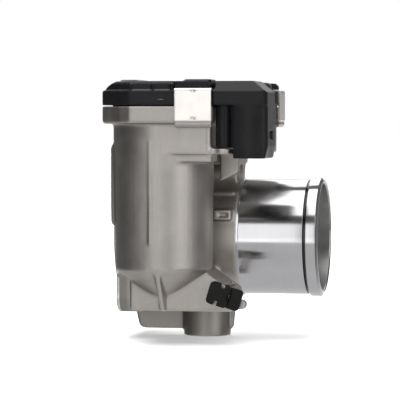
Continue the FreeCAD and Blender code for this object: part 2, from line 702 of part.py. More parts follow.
def make_motor_terminals():
    blades = [box(x - 1.5, x + 1.5, y - 0.3, y + 0.3, 41.5, 61.0) for x, y in motor_contact_places()]
    return Part.makeCompound(blades)


def make_motor_brushes():
    x, y = MOTOR_X, MOTOR_Y
    bore = post(x, y, COMMUTATOR_R + 0.04, 30, 45)
    blocks = [box(x + s * 9.2 - 4.0, x + s * 9.2 + 4.0, y - 2.4, y + 2.4, 33.1, 40.9) for s in (-1, 1)]
    return Part.makeCompound([block.cut(bore) for block in blocks])


def make_motor_bushes():
    x, y = MOTOR_X, MOTOR_Y
    inner = MOTOR_SHAFT_R + 0.03
    return Part.makeCompound([tube(x, y, inner, 4.0, 45.0, 50.0), tube(x, y, inner, 4.0, -13.5, -8.5)])


def pan_screw(x, y, top, length, shank, head, head_t):
    """A pan head screw that points down, with a six-lobed drive."""
    body = fuse([post(x, y, shank, top - length, top), post(x, y, head, top, top + head_t)])
    drive = [post(*polar(x, y, head * 0.32, a)[:2], head * 0.2, top + head_t * 0.4, top + head_t + 1)
             for a in range(0, 360, 60)]
    return body.cut([post(x, y, head * 0.3, top + head_t * 0.4, top + head_t + 1)] + drive)


def make_motor_screws():
    return Part.makeCompound([pan_screw(p.x, p.y, FLOOR_Z + 2, 4.8, 1.55, 3.1, 2.2) for p in ear_places()])


def make_motor_support_ring():
    return tube(MOTOR_X, MOTOR_Y, 12.0, 18.0, POCKET_Z, CAN_BOTTOM_Z)


def make_idler_pin():
    pin = post(IDLER.x, IDLER.y, 2.5, FLOOR_Z - 3, 75.0)
    return pin.makeChamfer(0.4, [e for e in pin.Edges if e.BoundBox.ZLength < 0.01])


def make_idler_washer():
    return tube(IDLER.x, IDLER.y, 2.6, 4.8, 56.4, 56.8)


def make_upper_bearing():
    x, y = SHAFT_X, SHAFT_Y
    cup = tube(x, y, 6.1, 7.0, 36.0, 46.0)
    lips = [tube(x, y, 5.25, 6.2, 36.0, 36.8), tube(x, y, 5.25, 6.2, 45.2, 46.0)]
    return fuse([cup] + lips)


def make_upper_bearing_needles():
    count = 24
    places = [polar(SHAFT_X, SHAFT_Y, 5.555, 360.0 * i / count) for i in range(count)]
    return Part.makeCompound([post(p.x, p.y, 0.5, 37.0, 45.0) for p in places])


def ball_race(inner, outer):
    ring = tube(SHAFT_X, SHAFT_Y, inner, outer, -46.0, -41.0)
    track = Part.makeTorus(7.25, 1.45, Vector(SHAFT_X, SHAFT_Y, -43.5), Vector(0, 0, 1))
    return ring.cut(track)


def make_lower_bearing_outer():
    return ball_race(8.0, 9.5)


def make_lower_bearing_inner():
    return ball_race(SHAFT_R, 6.5)


def make_lower_bearing_balls():
    count = 12
    places = [polar(SHAFT_X, SHAFT_Y, 7.25, 360.0 * i / count, -43.5) for i in range(count)]
    return Part.makeCompound([Part.makeSphere(1.4, p) for p in places])


def make_shaft_seals():
    rings = []
    for z0, z1 in ((-35.5, -32.5), (31.0, 34.0)):
        lip = tube(SHAFT_X, SHAFT_Y, SHAFT_R + 0.05, 8.0, z0, z1)
        rings.append(lip.cut(tube(SHAFT_X, SHAFT_Y, 5.8, 7.0, z0 - 1, z0 + 1.2)))
    return Part.makeCompound(rings)


def make_bearing_plug():
    x, y = SHAFT_X, SHAFT_Y
    cup = post(x, y, 10.4, -51.2, -47.6)
    return cup.cut(post(x, y, 9.2, -50.2, -46))


def make_spring_sleeve():
    x, y = SHAFT_X, SHAFT_Y
    return fuse([tube(x, y, 9.5, 10.6, FLOOR_Z, 56.5), tube(x, y, 10.4, 14.0, FLOOR_Z, FLOOR_Z + 0.8)])


def make_return_spring():
    """The torsion spring about the shaft, with one leg out at each end."""
    wire_r = 0.75
    mean_r = 12.2
    pitch = 1.8
    start = FLOOR_Z + 1.8
    turns = 3 + (SPRING_END - SPRING_START) / 360
    height = pitch * turns
    helix = Part.makeHelix(pitch, height, mean_r)
    helix.translate(Vector(SHAFT_X, SHAFT_Y, start))
    helix.rotate(Vector(SHAFT_X, SHAFT_Y, 0), Vector(0, 0, 1), SPRING_START)
    first = helix.Edges[0].Vertexes[0].Point
    section = Part.Wire(Part.makeCircle(wire_r, first, Vector(0, 1, 0)))
    section.rotate(first, Vector(0, 0, 1), SPRING_START)
    coil = helix.makePipeShell([section], True, True)
    legs = []
    for angle, z in ((SPRING_START, start), (SPRING_END, start + height)):
        foot = polar(SHAFT_X, SHAFT_Y, mean_r, angle, z)
        out = polar(0, 0, 1, angle)
        legs.append(Part.makeCylinder(wire_r, 6.0, foot, out))
    return fuse([coil] + legs)


def stop_screw_hole():
    return Part.makeCylinder(1.5, 20, Vector(21.2, 2.0, 61.0), Vector(0, 1, 0))


def make_stop_screw():
    tip = 2.7
    body = Part.makeCylinder(1.5, 13.0, Vector(21.2, tip, 61.0), Vector(0, 1, 0))
    socket = Part.makeCylinder(0.8, 2.0, Vector(21.2, tip + 11.2, 61.0), Vector(0, 1, 0))
    return body.cut(socket)


def make_manifold_gasket():
    return bar(GASKET_R - 0.1, 0, GASKET_DEPTH).cut(bar(GASKET_R - GASKET_W + 0.1, -1, GASKET_DEPTH + 1))


def make_harness_clip():
    """A black snap clip on the lug at the right of the base wall, turned a little."""
    cx, cz = 59.9, -26.2
    front_y = -62.2
    plate = front(rectangle(cx - 5.6, cx + 5.6, cz - 5.8, cz + 5.8, 2.2), front_y, front_y + 3.2)
    stem = box(cx - 2.5, cx + 2.5, front_y + 3, -57.5, cz - 4.5, cz + 0.5)
    cheek = front(rectangle(cx + 4.0, cx + 11.4, cz - 5.6, cz + 5.2, 1.8), front_y + 1.8, front_y + 4.6)
    notches = [box(cx - 0.2, cx + 2.0, front_y - 1, front_y + 5, cz + 3.6, cz + 7),
               box(cx - 1.6, cx + 0.2, front_y - 1, front_y + 5, cz - 7, cz - 3.4)]
    slot = box(cx + 4.4, cx + 5.4, front_y - 1, front_y + 5, cz - 1.8, cz + 1.6)
    clip = fuse([plate, stem, cheek]).cut(notches + [slot])
    clip.rotate(Vector(cx, 0, cz), Vector(0, 1, 0), 17)
    return clip


# ---- throttle body ---------------------------------------------------------------------------
def plate_screw_heights():
    return (-12.0, 12.0)


def make_throttle_shaft():
    x, y = SHAFT_X, SHAFT_Y
    body = post(x, y, SHAFT_R, SHAFT_BOTTOM, SHAFT_TOP)
    body = body.makeChamfer(0.6, [e for e in body.Edges if e.BoundBox.ZLength < 0.01])
    half = PLATE_T / 2
    cuts = [box(x - half, x + half, y - 8, y + 8, -PLATE_R - 0.1, PLATE_R + 0.1)]
    for z in plate_screw_heights():
        cuts.append(bar(2.0, x - 8, x + 8, y, z))
        cuts.append(bar(3.6, x + 3.4, x + 8, y, z))
    return on_shaft(body.cut(cuts))


def make_throttle_plate():
    x, y = SHAFT_X, SHAFT_Y
    disc = bar(PLATE_R, x - PLATE_T / 2, x + PLATE_T / 2)
    holes = [bar(2.0, x - 4, x + 4, y, z) for z in plate_screw_heights()]
    return on_shaft(disc.cut(holes))


def make_plate_screws():
    x, y = SHAFT_X, SHAFT_Y
    screws = []
    for z in plate_screw_heights():
        shank = bar(1.95, x - 4.6, x + 3.4, y, z)
        head = bar(3.4, x + 3.4, x + 5.0, y, z)
        drive = box(x + 4.2, x + 6, y - 2.2, y + 2.2, z - 0.4, z + 0.4)
        cross = box(x + 4.2, x + 6, y - 0.4, y + 0.4, z - 2.2, z + 2.2)
        screws.append(on_shaft(fuse([shank, head]).cut([drive, cross])))
    return Part.makeCompound(screws)


def sector_angles():
    """Where the teeth start and end at rest, so that they mesh over the whole travel."""
    mesh = bearing_angle(SHAFT_X, SHAFT_Y, IDLER.x, IDLER.y)
    margin = 8.0
    return mesh - TRAVEL_OPEN - margin, mesh + REST_OPEN + margin


def make_sector_gear():
    x, y = SHAFT_X, SHAFT_Y
    z0, z1 = SECTOR_Z
    start, end = sector_angles()
    mesh = bearing_angle(x, y, IDLER.x, IDLER.y)
    whole = gear(COARSE_MODULE, SECTOR_TEETH, x, y, mesh + 180.0 / SECTOR_TEETH, z0, z1)
    toothed = whole.common(wedge(x, y, 30, start, end, z0 - 1, z1 + 1))
    thin = wedge(x, y, 21.0, start + 4, end - 4, z0 + 5.0, z1 + 1).cut(post(x, y, 11.0, z0, z1 + 2))
    hub = post(x, y, 9.0, 52.0, 70.4)
    guard = post(x, y, 14.6, z0, z0 + 2.0)
    ribs = [turned(box(x + 8, x + 22, y - 0.7, y + 0.7, z0 + 1, z1), x, y, start + 104 * k / 5 + 8)
            for k in range(1, 5)]
    lug = turned(box(x + 14.8, x + 17.6, y - 1.2, y + 1.2, 54.6, z0 + 2), x, y, 190)
    body = fuse([toothed.cut(thin), hub, guard] + ribs + [lug])
    return body.cut(post(x, y, 6.5, 51, 71))


def make_gear_insert():
    x, y = SHAFT_X, SHAFT_Y
    return tube(x, y, SHAFT_R, 6.5, 53.0, SHAFT_TOP)


def make_sensor_rotor():
    """The three-lobed metal target that the sensor reads."""
    x, y = SHAFT_X, SHAFT_Y
    lobes = [wedge(x, y, 14.0, a, a + 60, 70.4, 71.2) for a in (0, 120, 240)]
    return fuse([post(x, y, 8.6, 70.4, 71.2)] + lobes).cut(post(x, y, 5.4, 70, 72))


# ---- intermediate gear and motor rotor -------------------------------------------------------
def make_intermediate_gear():
    x, y = IDLER.x, IDLER.y
    to_sector = bearing_angle(x, y, SHAFT_X, SHAFT_Y)
    to_motor = bearing_angle(x, y, MOTOR_X, MOTOR_Y)
    small = gear(COARSE_MODULE, IDLER_TEETH, x, y, to_sector, *IDLER_PINION_Z)
    large = gear(FINE_MODULE, WHEEL_TEETH, x, y, to_motor, *WHEEL_Z)
    hub = post(x, y, 5.4, WHEEL_Z[1] - 0.5, WHEEL_Z[1] + 1.4)
    web = tube(x, y, 8.5, 16.5, WHEEL_Z[1] - 1.3, WHEEL_Z[1] + 1)
    holes = [post(*polar(x, y, 12.4, a)[:2], 2.4, WHEEL_Z[0] - 1, WHEEL_Z[1] + 1) for a in range(0, 360, 60)]
    return fuse([small, large, hub]).cut([web, post(x, y, 2.5 + RUNNING_GAP, 50, 75)] + holes)


def make_motor_pinion():
    x, y = MOTOR_X, MOTOR_Y
    phase = bearing_angle(x, y, IDLER.x, IDLER.y) + 180.0 / PINION_TEETH
    teeth = gear(FINE_MODULE, PINION_TEETH, x, y, phase, *MOTOR_PINION_Z)
    return teeth.cut(post(x, y, MOTOR_SHAFT_R, 60, 72))


def make_motor_shaft():
    shaft = post(MOTOR_X, MOTOR_Y, MOTOR_SHAFT_R, -13.0, 71.0)
    return shaft.makeChamfer(0.3, [e for e in shaft.Edges if e.BoundBox.ZLength < 0.01])


def rotor_slots(radius, z0, z1, gap):
    """The winding slots between the poles, closed in by the pole tips."""
    x, y = MOTOR_X, MOTOR_Y
    slots = []
    for i in range(POLES):
        width = 2.2 - gap
        slot = box(x + 5.4 + gap, x + radius, y - width, y + width, z0, z1)
        slots.append(turned(slot, x, y, 360.0 * i / POLES))
    return slots


def make_armature_core():
    x, y = MOTOR_X, MOTOR_Y
    core = post(x, y, ROTOR_R, 0, 26)
    mouths = [turned(box(x + 12, x + 17, y - 0.7, y + 0.7, -1, 27), x, y, 360.0 * i / POLES)
              for i in range(POLES)]
    return core.cut(rotor_slots(13.4, -1, 27, 0.0) + mouths + [post(x, y, MOTOR_SHAFT_R, -1, 27)])


def make_armature_windings():
    """The copper in the slots and the end turns above and below the core."""
    x, y = MOTOR_X, MOTOR_Y
    bars = rotor_slots(13.3, -0.4, 26.4, 0.1)
    ends = []
    for z, sign in ((26.1, 1), (-0.1, -1)):
        ring = tube(x, y, 4.6, 13.3, min(z, z + sign * 3.9), max(z, z + sign * 3.9))
        ends.append(ring)
    return fuse(ends + bars)


def make_commutator():
    x, y = MOTOR_X, MOTOR_Y
    body = tube(x, y, MOTOR_SHAFT_R, COMMUTATOR_R, 30.6, 42.2)
    gap = box(x + COMMUTATOR_R - 0.7, x + COMMUTATOR_R + 1, y - 0.2, y + 0.2, 30, 43)
    return body.cut([turned(gap, x, y, 360.0 * (i + 0.5) / POLES) for i in range(POLES)])


PARTS = {
    "throttle_housing": make_housing,
    "gear_cover": make_cover,
    "cover_gasket": make_cover_gasket,
    "cover_clips": make_cover_clips,
    "connector_terminals": make_connector_terminals,
    "motor_contacts": make_motor_contacts,
    "sensor_board": make_sensor_board,
    "sensor_chip": make_sensor_chip,
    "motor_can": make_motor_can,
    "motor_magnets": make_motor_magnets,
    "motor_end_cap": make_motor_end_cap,
    "motor_flange": make_motor_flange,
    "motor_terminals": make_motor_terminals,
    "motor_brushes": make_motor_brushes,
    "motor_bushes": make_motor_bushes,
    "motor_screws": make_motor_screws,
    "motor_support_ring": make_motor_support_ring,
    "idler_pin": make_idler_pin,
    "idler_washer": make_idler_washer,
    "upper_bearing": make_upper_bearing,
    "upper_bearing_needles": make_upper_bearing_needles,
    "lower_bearing_outer": make_lower_bearing_outer,
    "lower_bearing_inner": make_lower_bearing_inner,
    "lower_bearing_balls": make_lower_bearing_balls,
    "shaft_seals": make_shaft_seals,
    "bearing_plug": make_bearing_plug,
    "spring_sleeve": make_spring_sleeve,
    "return_spring": make_return_spring,
    "stop_screw": make_stop_screw,
    "manifold_gasket": make_manifold_gasket,
    "harness_clip": make_harness_clip,
    "throttle_shaft": make_throttle_shaft,
    "throttle_plate": make_throttle_plate,
    "plate_screws": make_plate_screws,
    "sector_gear": make_sector_gear,
    "gear_insert": make_gear_insert,
    "sensor_rotor": make_sensor_rotor,
    "intermediate_gear": make_intermediate_gear,
    "motor_shaft": make_motor_shaft,
    "motor_pinion": make_motor_pinion,
    "armature_core": make_armature_core,
    "armature_windings": make_armature_windings,
    "commutator": make_commutator,
}

os.makedirs("parts", exist_ok=True)
for name, make in PARTS.items():
    shape = make()
    solids = [shape] if shape.ShapeType == "Solid" else shape.Solids
    if not shape.isValid() or not solids:
        raise ValueError(name + " is not a valid solid")
    shape.exportStep("parts/" + name + ".step")
    box_now = shape.BoundBox
    print(f"{name}: {len(solids)} solid(s), {shape.Volume:.1f} mm3, X {box_now.XMin:.1f} {box_now.XMax:.1f}"
          f" Y {box_now.YMin:.1f} {box_now.YMax:.1f} Z {box_now.ZMin:.1f} {box_now.ZMax:.1f}")
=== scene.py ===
import json
import math

import bmesh
import bpy
from mathutils import Matrix, Vector


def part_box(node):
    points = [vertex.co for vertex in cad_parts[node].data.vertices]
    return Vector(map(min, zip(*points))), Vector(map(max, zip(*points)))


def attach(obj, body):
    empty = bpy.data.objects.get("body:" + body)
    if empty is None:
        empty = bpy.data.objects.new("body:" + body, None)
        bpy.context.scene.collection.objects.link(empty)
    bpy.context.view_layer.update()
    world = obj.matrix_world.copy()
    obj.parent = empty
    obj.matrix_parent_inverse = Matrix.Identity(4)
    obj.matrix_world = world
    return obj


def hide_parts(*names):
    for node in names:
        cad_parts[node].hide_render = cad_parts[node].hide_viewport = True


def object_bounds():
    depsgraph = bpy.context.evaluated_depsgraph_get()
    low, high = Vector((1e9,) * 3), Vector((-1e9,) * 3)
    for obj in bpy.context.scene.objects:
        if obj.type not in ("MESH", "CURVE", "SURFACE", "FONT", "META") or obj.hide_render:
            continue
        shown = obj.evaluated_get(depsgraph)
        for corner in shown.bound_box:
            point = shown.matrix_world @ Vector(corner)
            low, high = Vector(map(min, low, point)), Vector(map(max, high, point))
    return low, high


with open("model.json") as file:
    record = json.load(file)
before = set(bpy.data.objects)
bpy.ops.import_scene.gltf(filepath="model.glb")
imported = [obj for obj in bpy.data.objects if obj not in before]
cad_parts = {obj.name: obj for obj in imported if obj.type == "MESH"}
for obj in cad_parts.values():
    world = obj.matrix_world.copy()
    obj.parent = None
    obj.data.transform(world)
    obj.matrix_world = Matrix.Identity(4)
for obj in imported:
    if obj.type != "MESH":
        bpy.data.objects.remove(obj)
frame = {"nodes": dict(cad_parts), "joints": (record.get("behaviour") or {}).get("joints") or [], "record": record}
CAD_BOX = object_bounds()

bl_info = {
    "name": "Throttle body finishes",
    "version": (1, 0, 0),
    "blender": (4, 5, 0),
    "location": "View3D > Sidebar > Throttle body",
    "description": "Builds the visible surfaces of an electronic throttle body round its fixed frame",
    "category": "Object",
}

MM = 0.001
PIVOT = {joint["child"]: Vector(joint["pos_m"]) for joint in frame["joints"]}
MOUNT = {mount["name"]: mount for mount in frame["record"]["mounts"]}
SHAFT = PIVOT["throttle"]
MOTOR = PIVOT["motor_rotor"]
MERGE = 1e-7

# the hose spigot, its bead and the groove behind the bead
MOUTH_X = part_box("throttle_housing")[1].x
BEAD_R = MOUNT["hose_bead"]["dims"]["r_mm"] * MM
BEAD_END = MOUTH_X - 1.0 * MM
BEAD_START = BEAD_END - 5.2 * MM
GROOVE_START = BEAD_START - 1.3 * MM
SEAT_R = BEAD_R - 1.0 * MM
SEAT_START = 63.4 * MM
GROOVE_R = SEAT_R - 0.9 * MM
LIP_R = 28.6 * MM
SPIGOT_WALL_R = 27.2 * MM

# the bore and the wider mouth at its end
BORE_R = 26.0 * MM
BORE_END = MOUTH_X - 12.0 * MM
BORE_BACK_R = 27.15 * MM
BORE_RINGS = 12
MOUTH_R = 27.9 * MM
MOUTH_EDGE = MOUTH_X - 0.7 * MM
MOUTH_WALL = 0.3 * MM
SHAFT_HOLE_R = 5.3 * MM

# the casting: where the spigot and the lobe's hollow are cut out, and where the milled skin lies on it
SPIGOT_CUT_R = SEAT_R + 1.6 * MM
HOLLOW_R = 2.8 * MM
HOLLOW_CENTRE = (10.6 * MM, -28.6 * MM)
HOLLOW_SPAN = (-29.5 * MM, -21.0 * MM)
UNDER_SKIN = 0.12 * MM
SKIN_DEPTH = 1.1 * MM
SKIN_EDGE = 0.7 * MM
SKIN_EDGE_DROP = 0.55 * MM

# where painted shade darkens the cast skin: below the foot line and at the lower corner of the flange lobe
FOOT_PAINTED_SHADE = (-37.5 * MM, -35.5 * MM)
LOBE_PAINTED_SHADE_Z = (-21 * MM, -16 * MM)
LOBE_PAINTED_SHADE_X = (5 * MM, 8 * MM)

# the bead along the cover's ledge, in plan in millimetres, and the ejector mark below it
LEDGE_Z = 75.6 * MM
LEDGE_LINE = [(1.5, -41.0), (1.5, -63.6), (12.8, -75.85), (18.2, -78.7), (40.4, -78.7)]
LEDGE_BEAD = (0.32 * MM, 0.55 * MM)
LEDGE_CORNER = 4.0 * MM
MARK_CENTRE = (33.9 * MM, -79.45 * MM, LEDGE_Z - 4.6 * MM)
MARK_SIZE = (3.6 * MM, 0.5 * MM, 0.5 * MM)

# triangles that the two moulded plastics are thinned to
COVER_FACES = 195000
WIRING_CLIP_FACES = 90000

# the spring clips
CLIP_STEPS = 28
CLIP_SIDE_GAP = 0.1 * MM
DIMPLE_DEPTH = 0.45 * MM
DIMPLE_REACH = (1.5 * MM, 0.8 * MM)


# ---- settings --------------------------------------------------------------------------------
class CastingSettings(bpy.types.PropertyGroup):
    """The die-cast housing."""

    voxel: bpy.props.FloatProperty(
        name="Voxel", description="Grid that the casting's fillets are grown on", default=0.62 * MM,
        min=0.2 * MM, unit="LENGTH")
    passes: bpy.props.IntProperty(
        name="Fillet passes", description="Smoothing passes that round the cast edges", default=9, min=0)
    faces: bpy.props.IntProperty(
        name="Triangles", description="Triangles the finished casting is thinned to", default=185000)
    colour: bpy.props.FloatVectorProperty(
        name="Colour", description="Colour of the blasted aluminium skin", default=(0.46, 0.435, 0.41),
        subtype="COLOR", size=3)
    grain: bpy.props.FloatProperty(
        name="Grain", description="Size of the blasted grain", default=0.42 * MM, unit="LENGTH")


class SpigotSettings(bpy.types.PropertyGroup):
    """The polished hose spigot and the machined bore."""

    colour: bpy.props.FloatVectorProperty(
        name="Colour", description="Colour of the polished aluminium", default=(0.465, 0.465, 0.475),
        subtype="COLOR", size=3)
    segments: bpy.props.IntProperty(
        name="Segments", description="Steps round the spigot", default=240, min=24)


class CoverSettings(bpy.types.PropertyGroup):
    """The moulded gear cover."""

    voxel: bpy.props.FloatProperty(
        name="Voxel", description="Grid that the moulding's rounded edges are grown on", default=0.56 * MM,
        min=0.2 * MM, unit="LENGTH")
    passes: bpy.props.IntProperty(
        name="Edge passes", description="Smoothing passes that round the moulded edges", default=2, min=0)
    colour: bpy.props.FloatVectorProperty(
        name="Colour", description="Colour of the black nylon", default=(0.006, 0.006, 0.007),
        subtype="COLOR", size=3)


class ClipSettings(bpy.types.PropertyGroup):
    """The spring clips that hold the cover."""

    thickness: bpy.props.FloatProperty(
        name="Thickness", description="Thickness of the spring strip", default=0.8 * MM, unit="LENGTH")
    colour: bpy.props.FloatVectorProperty(
        name="Colour", description="Colour of the bright strip", default=(0.84, 0.80, 0.765),
        subtype="COLOR", size=3)


class StudioSettings(bpy.types.PropertyGroup):
    """Camera, lights and floor."""

    azimuth: bpy.props.FloatProperty(
        name="Azimuth", description="Camera's bearing, from the motor side towards the spigot",
        default=math.radians(10.5), subtype="ANGLE")
    elevation: bpy.props.FloatProperty(
        name="Elevation", description="Camera's height angle", default=math.radians(2.0), subtype="ANGLE")
    distance: bpy.props.FloatProperty(
        name="Distance", description="Camera's distance from its target", default=1.2, unit="LENGTH")
    lens: bpy.props.FloatProperty(name="Lens", description="Focal length in millimetres", default=205.0)
    key: bpy.props.FloatProperty(name="Front panels", description="Radiance of the front panels", default=2.0)
    top: bpy.props.FloatProperty(name="Top panel", description="Radiance of the top panel", default=3.0)
    back: bpy.props.FloatProperty(name="Back panel", description="Radiance of the back panel", default=2.4)
    wash: bpy.props.FloatProperty(
        name="Floor wash", description="Even light on the floor, in watts per square metre", default=3.4)


SETTINGS = (CastingSettings, SpigotSettings, CoverSettings, ClipSettings, StudioSettings)


# ---- materials -------------------------------------------------------------------------------
class Finish:
    """A small builder for one procedural material on object coordinates, in metres."""

    def __init__(self, name, colour, roughness, metallic=0.0, specular=0.5):
        self.material = bpy.data.materials.new(name)
        self.material.use_nodes = True
        self.material.diffuse_color = (*colour, 1.0)
        self.tree = self.material.node_tree
        self.shader = self.tree.nodes["Principled BSDF"]
        self.shader.inputs["Base Color"].default_value = (*colour, 1.0)
        self.shader.inputs["Roughness"].default_value = roughness
        self.shader.inputs["Metallic"].default_value = metallic
        self.shader.inputs["Specular IOR Level"].default_value = specular
        self.place = self.tree.nodes.new("ShaderNodeTexCoord").outputs["Object"]
        self.height = None

    def add(self, kind, **values):
        """A new node with its settings."""
        node = self.tree.nodes.new(kind)
        for key, value in values.items():
            setattr(node, key, value)
        return node

    def link(self, source, target):
        self.tree.links.new(source, target)

    def noise(self, size, detail=2.0, stretch=(1, 1, 1)):
        """Noise with features of about size metres, drawn out by stretch."""
        mapping = self.add("ShaderNodeMapping")
        mapping.inputs["Scale"].default_value = [1 / (size * s) for s in stretch]
        node = self.add("ShaderNodeTexNoise")
        node.inputs["Scale"].default_value = 1.0
        node.inputs["Detail"].default_value = detail
        self.link(self.place, mapping.inputs["Vector"])
        self.link(mapping.outputs["Vector"], node.inputs["Vector"])
        return node.outputs["Fac"]

    def math(self, operation, a, b=0.0):
        """One step of arithmetic; a and b are numbers or sockets."""
        node = self.add("ShaderNodeMath", operation=operation)
        for socket, value in zip(node.inputs, (a, b)):
            if isinstance(value, (int, float)):
                socket.default_value = value
            else:
                self.link(value, socket)
        return node.outputs["Value"]

    def span(self, source, low, high, to_low=0.0, to_high=1.0):
        """A clamped straight-line map of source from low..high to to_low..to_high."""
        node = self.add("ShaderNodeMapRange")
        for name, value in (("From Min", low), ("From Max", high), ("To Min", to_low), ("To Max", to_high)):
            node.inputs[name].default_value = value
        self.link(source, node.inputs["Value"])
        return node.outputs["Result"]

    def blend(self, factor, first, second):
        """Colour mix; first and second are colours or sockets."""
        node = self.add("ShaderNodeMix", data_type="RGBA")
        colours = [s for s in node.inputs if s.type == "RGBA"]
        for socket, value in zip(colours, (first, second)):
            if isinstance(value, (tuple, list)):
                socket.default_value = (*value, 1.0)
            else:
                self.link(value, socket)
        self.link(factor, node.inputs["Factor"])
        return [s for s in node.outputs if s.type == "RGBA"][0]

    def axis(self, letter):
        """The place along X, Y or Z."""
        node = self.add("ShaderNodeSeparateXYZ")
        self.link(self.place, node.inputs["Vector"])
        return node.outputs[letter]

    def radius(self, first="Y", second="Z", centre=(0.0, 0.0)):
        """Distance from a line along the third axis."""
        a = self.math("SUBTRACT", self.axis(first), centre[0])
        b = self.math("SUBTRACT", self.axis(second), centre[1])
        return self.math("SQRT", self.math("ADD", self.math("MULTIPLY", a, a), self.math("MULTIPLY", b, b)))

    def worn_edges(self, low=0.515, high=0.58):
        """One on sharp outer edges, nothing elsewhere."""
        geometry = self.add("ShaderNodeNewGeometry")
        return self.span(geometry.outputs["Pointiness"], low, high)

    def turned_about(self, axis, amount):
        """Draws highlights out along the axis, as lathe lines round it do."""
        tangent = self.add("ShaderNodeTangent", direction_type="RADIAL", axis=axis)
        self.link(tangent.outputs["Tangent"], self.shader.inputs["Tangent"])
        self.shader.inputs["Anisotropic"].default_value = amount
        self.shader.inputs["Anisotropic Rotation"].default_value = 0.25

    def colour(self, socket):
        self.link(socket, self.shader.inputs["Base Color"])
        return self

    def roughness(self, source, low, high):
        self.link(self.span(source, 0.25, 0.75, low, high), self.shader.inputs["Roughness"])
        return self

    def bump(self, source, depth, strength=1.0):
        """Adds a layer of relief of about depth metres."""
        node = self.add("ShaderNodeBump")
        node.inputs["Distance"].default_value = depth
        node.inputs["Strength"].default_value = strength
        self.link(source, node.inputs["Height"])
        if self.height:
            self.link(self.height, node.inputs["Normal"])
        self.height = node.outputs["Normal"]
        self.link(self.height, self.shader.inputs["Normal"])
        return self


def tint(colour, factor):
    """The colour made lighter or darker."""
    return tuple(min(1.0, c * factor) for c in colour)


def cast_aluminium(settings):
    """Blasted die casting: grey, faintly mottled, with fine grain, brighter worn edges, and painted shade at the
    low foot and the flange lobe.
    """
    skin = tuple(settings.colour)
    finish = Finish("cast_aluminium", skin, 0.5, metallic=1.0)
    cloud = finish.noise(14 * MM, detail=3)
    flow = finish.noise(5 * MM, detail=3, stretch=(1, 1, 3.5))
    speck = finish.noise(settings.grain * 1.6, detail=2)
    colour = finish.blend(finish.span(cloud, 0.35, 0.65), tint(skin, 0.90), tint(skin, 1.07))
    colour = finish.blend(finish.span(flow, 0.35, 0.7, 0.0, 0.5), colour, tint(skin, 0.86))
    colour = finish.blend(finish.span(speck, 0.55, 0.75, 0.0, 0.35), colour, tint(skin, 1.25))
    colour = finish.blend(finish.worn_edges(), colour, tint(skin, 1.3))
    # painted shade: the skin is darkened below the foot line and at the lower corner of the flange lobe
    height = finish.axis("Z")
    foot = finish.span(height, *FOOT_PAINTED_SHADE, 0.36, 0.0)
    lobe = finish.math("MULTIPLY", finish.span(height, *LOBE_PAINTED_SHADE_Z, 0.46, 0.0),
                       finish.span(finish.axis("X"), *LOBE_PAINTED_SHADE_X, 1.0, 0.0))
    painted_shade = finish.math("MAXIMUM", foot, lobe)
    colour = finish.blend(painted_shade, colour, tint(skin, 0.12))
    finish.colour(colour).roughness(cloud, 0.44, 0.52)
    finish.bump(finish.noise(settings.grain, detail=2), 0.035 * MM, 0.5)
    finish.bump(finish.noise(2.6 * MM, detail=2), 0.06 * MM, 0.35)
    return finish.material


def polished_aluminium(settings):
    """Turned and polished spigot: bright, with very fine turning lines and painted shade in its groove."""
    bright = tuple(settings.colour)
    finish = Finish("polished_aluminium", bright, 0.2, metallic=1.0)
    finish.turned_about("X", 0.6)
    lines = finish.noise(0.2 * MM, detail=2, stretch=(1, 400, 400))
    haze = finish.noise(12 * MM, detail=3, stretch=(1.5, 1, 1))
    colour = finish.blend(finish.span(haze, 0.35, 0.7), tint(bright, 0.95), tint(bright, 1.04))
    colour = finish.blend(finish.span(lines, 0.3, 0.7, 0.0, 0.25), colour, tint(bright, 0.8))
    # painted shade: the floor of the groove in front of the bead is painted near-black
    above_floor = finish.span(finish.radius(), SEAT_R - 0.2 * MM, SEAT_R - 0.05 * MM)
    floor = finish.math("SUBTRACT", 1.0, above_floor)
    from_middle = finish.math("SUBTRACT", finish.axis("X"), (GROOVE_START + BEAD_START) / 2)
    reach = (BEAD_START - GROOVE_START) / 2 + 0.2 * MM
    along = finish.math("LESS_THAN", finish.math("ABSOLUTE", from_middle), reach)
    groove_painted_shade = finish.math("MULTIPLY", floor, along)
    colour = finish.blend(groove_painted_shade, colour, (0.035, 0.034, 0.032))
    finish.colour(colour).roughness(haze, 0.15, 0.22)
    finish.bump(lines, 0.0008 * MM, 0.5)
    return finish.material


def bored_aluminium():
    """The machined bore: matter than the spigot, with rings from the boring tool."""
    base = (0.50, 0.495, 0.485)
    finish = Finish("bored_aluminium", base, 0.4, metallic=1.0)
    rings = finish.noise(0.3 * MM, detail=2, stretch=(1, 300, 300))
    stain = finish.noise(9 * MM, detail=3)
    colour = finish.blend(finish.span(stain, 0.3, 0.7), tint(base, 0.85), tint(base, 1.1))
    finish.colour(colour).roughness(stain, 0.36, 0.46)
    finish.bump(rings, 0.004 * MM, 0.7)
    return finish.material


def milled_face():
    """The face-milled flange: bright, with overlapping cutter arcs."""
    base = (0.62, 0.615, 0.60)
    finish = Finish("milled_face", base, 0.27, metallic=1.0)
    cutter_centre = (0.02, -0.32)
    cutter_step = 0.7 * MM
    reach = finish.radius("Y", "Z", cutter_centre)
    arcs = finish.math("FRACT", finish.math("MULTIPLY", reach, 1 / cutter_step))
    stain = finish.noise(8 * MM, detail=3)
    colour = finish.blend(arcs, tint(base, 0.9), tint(base, 1.06))
    finish.colour(colour).roughness(stain, 0.22, 0.34)
    finish.bump(arcs, 0.004 * MM, 0.6)
    return finish.material


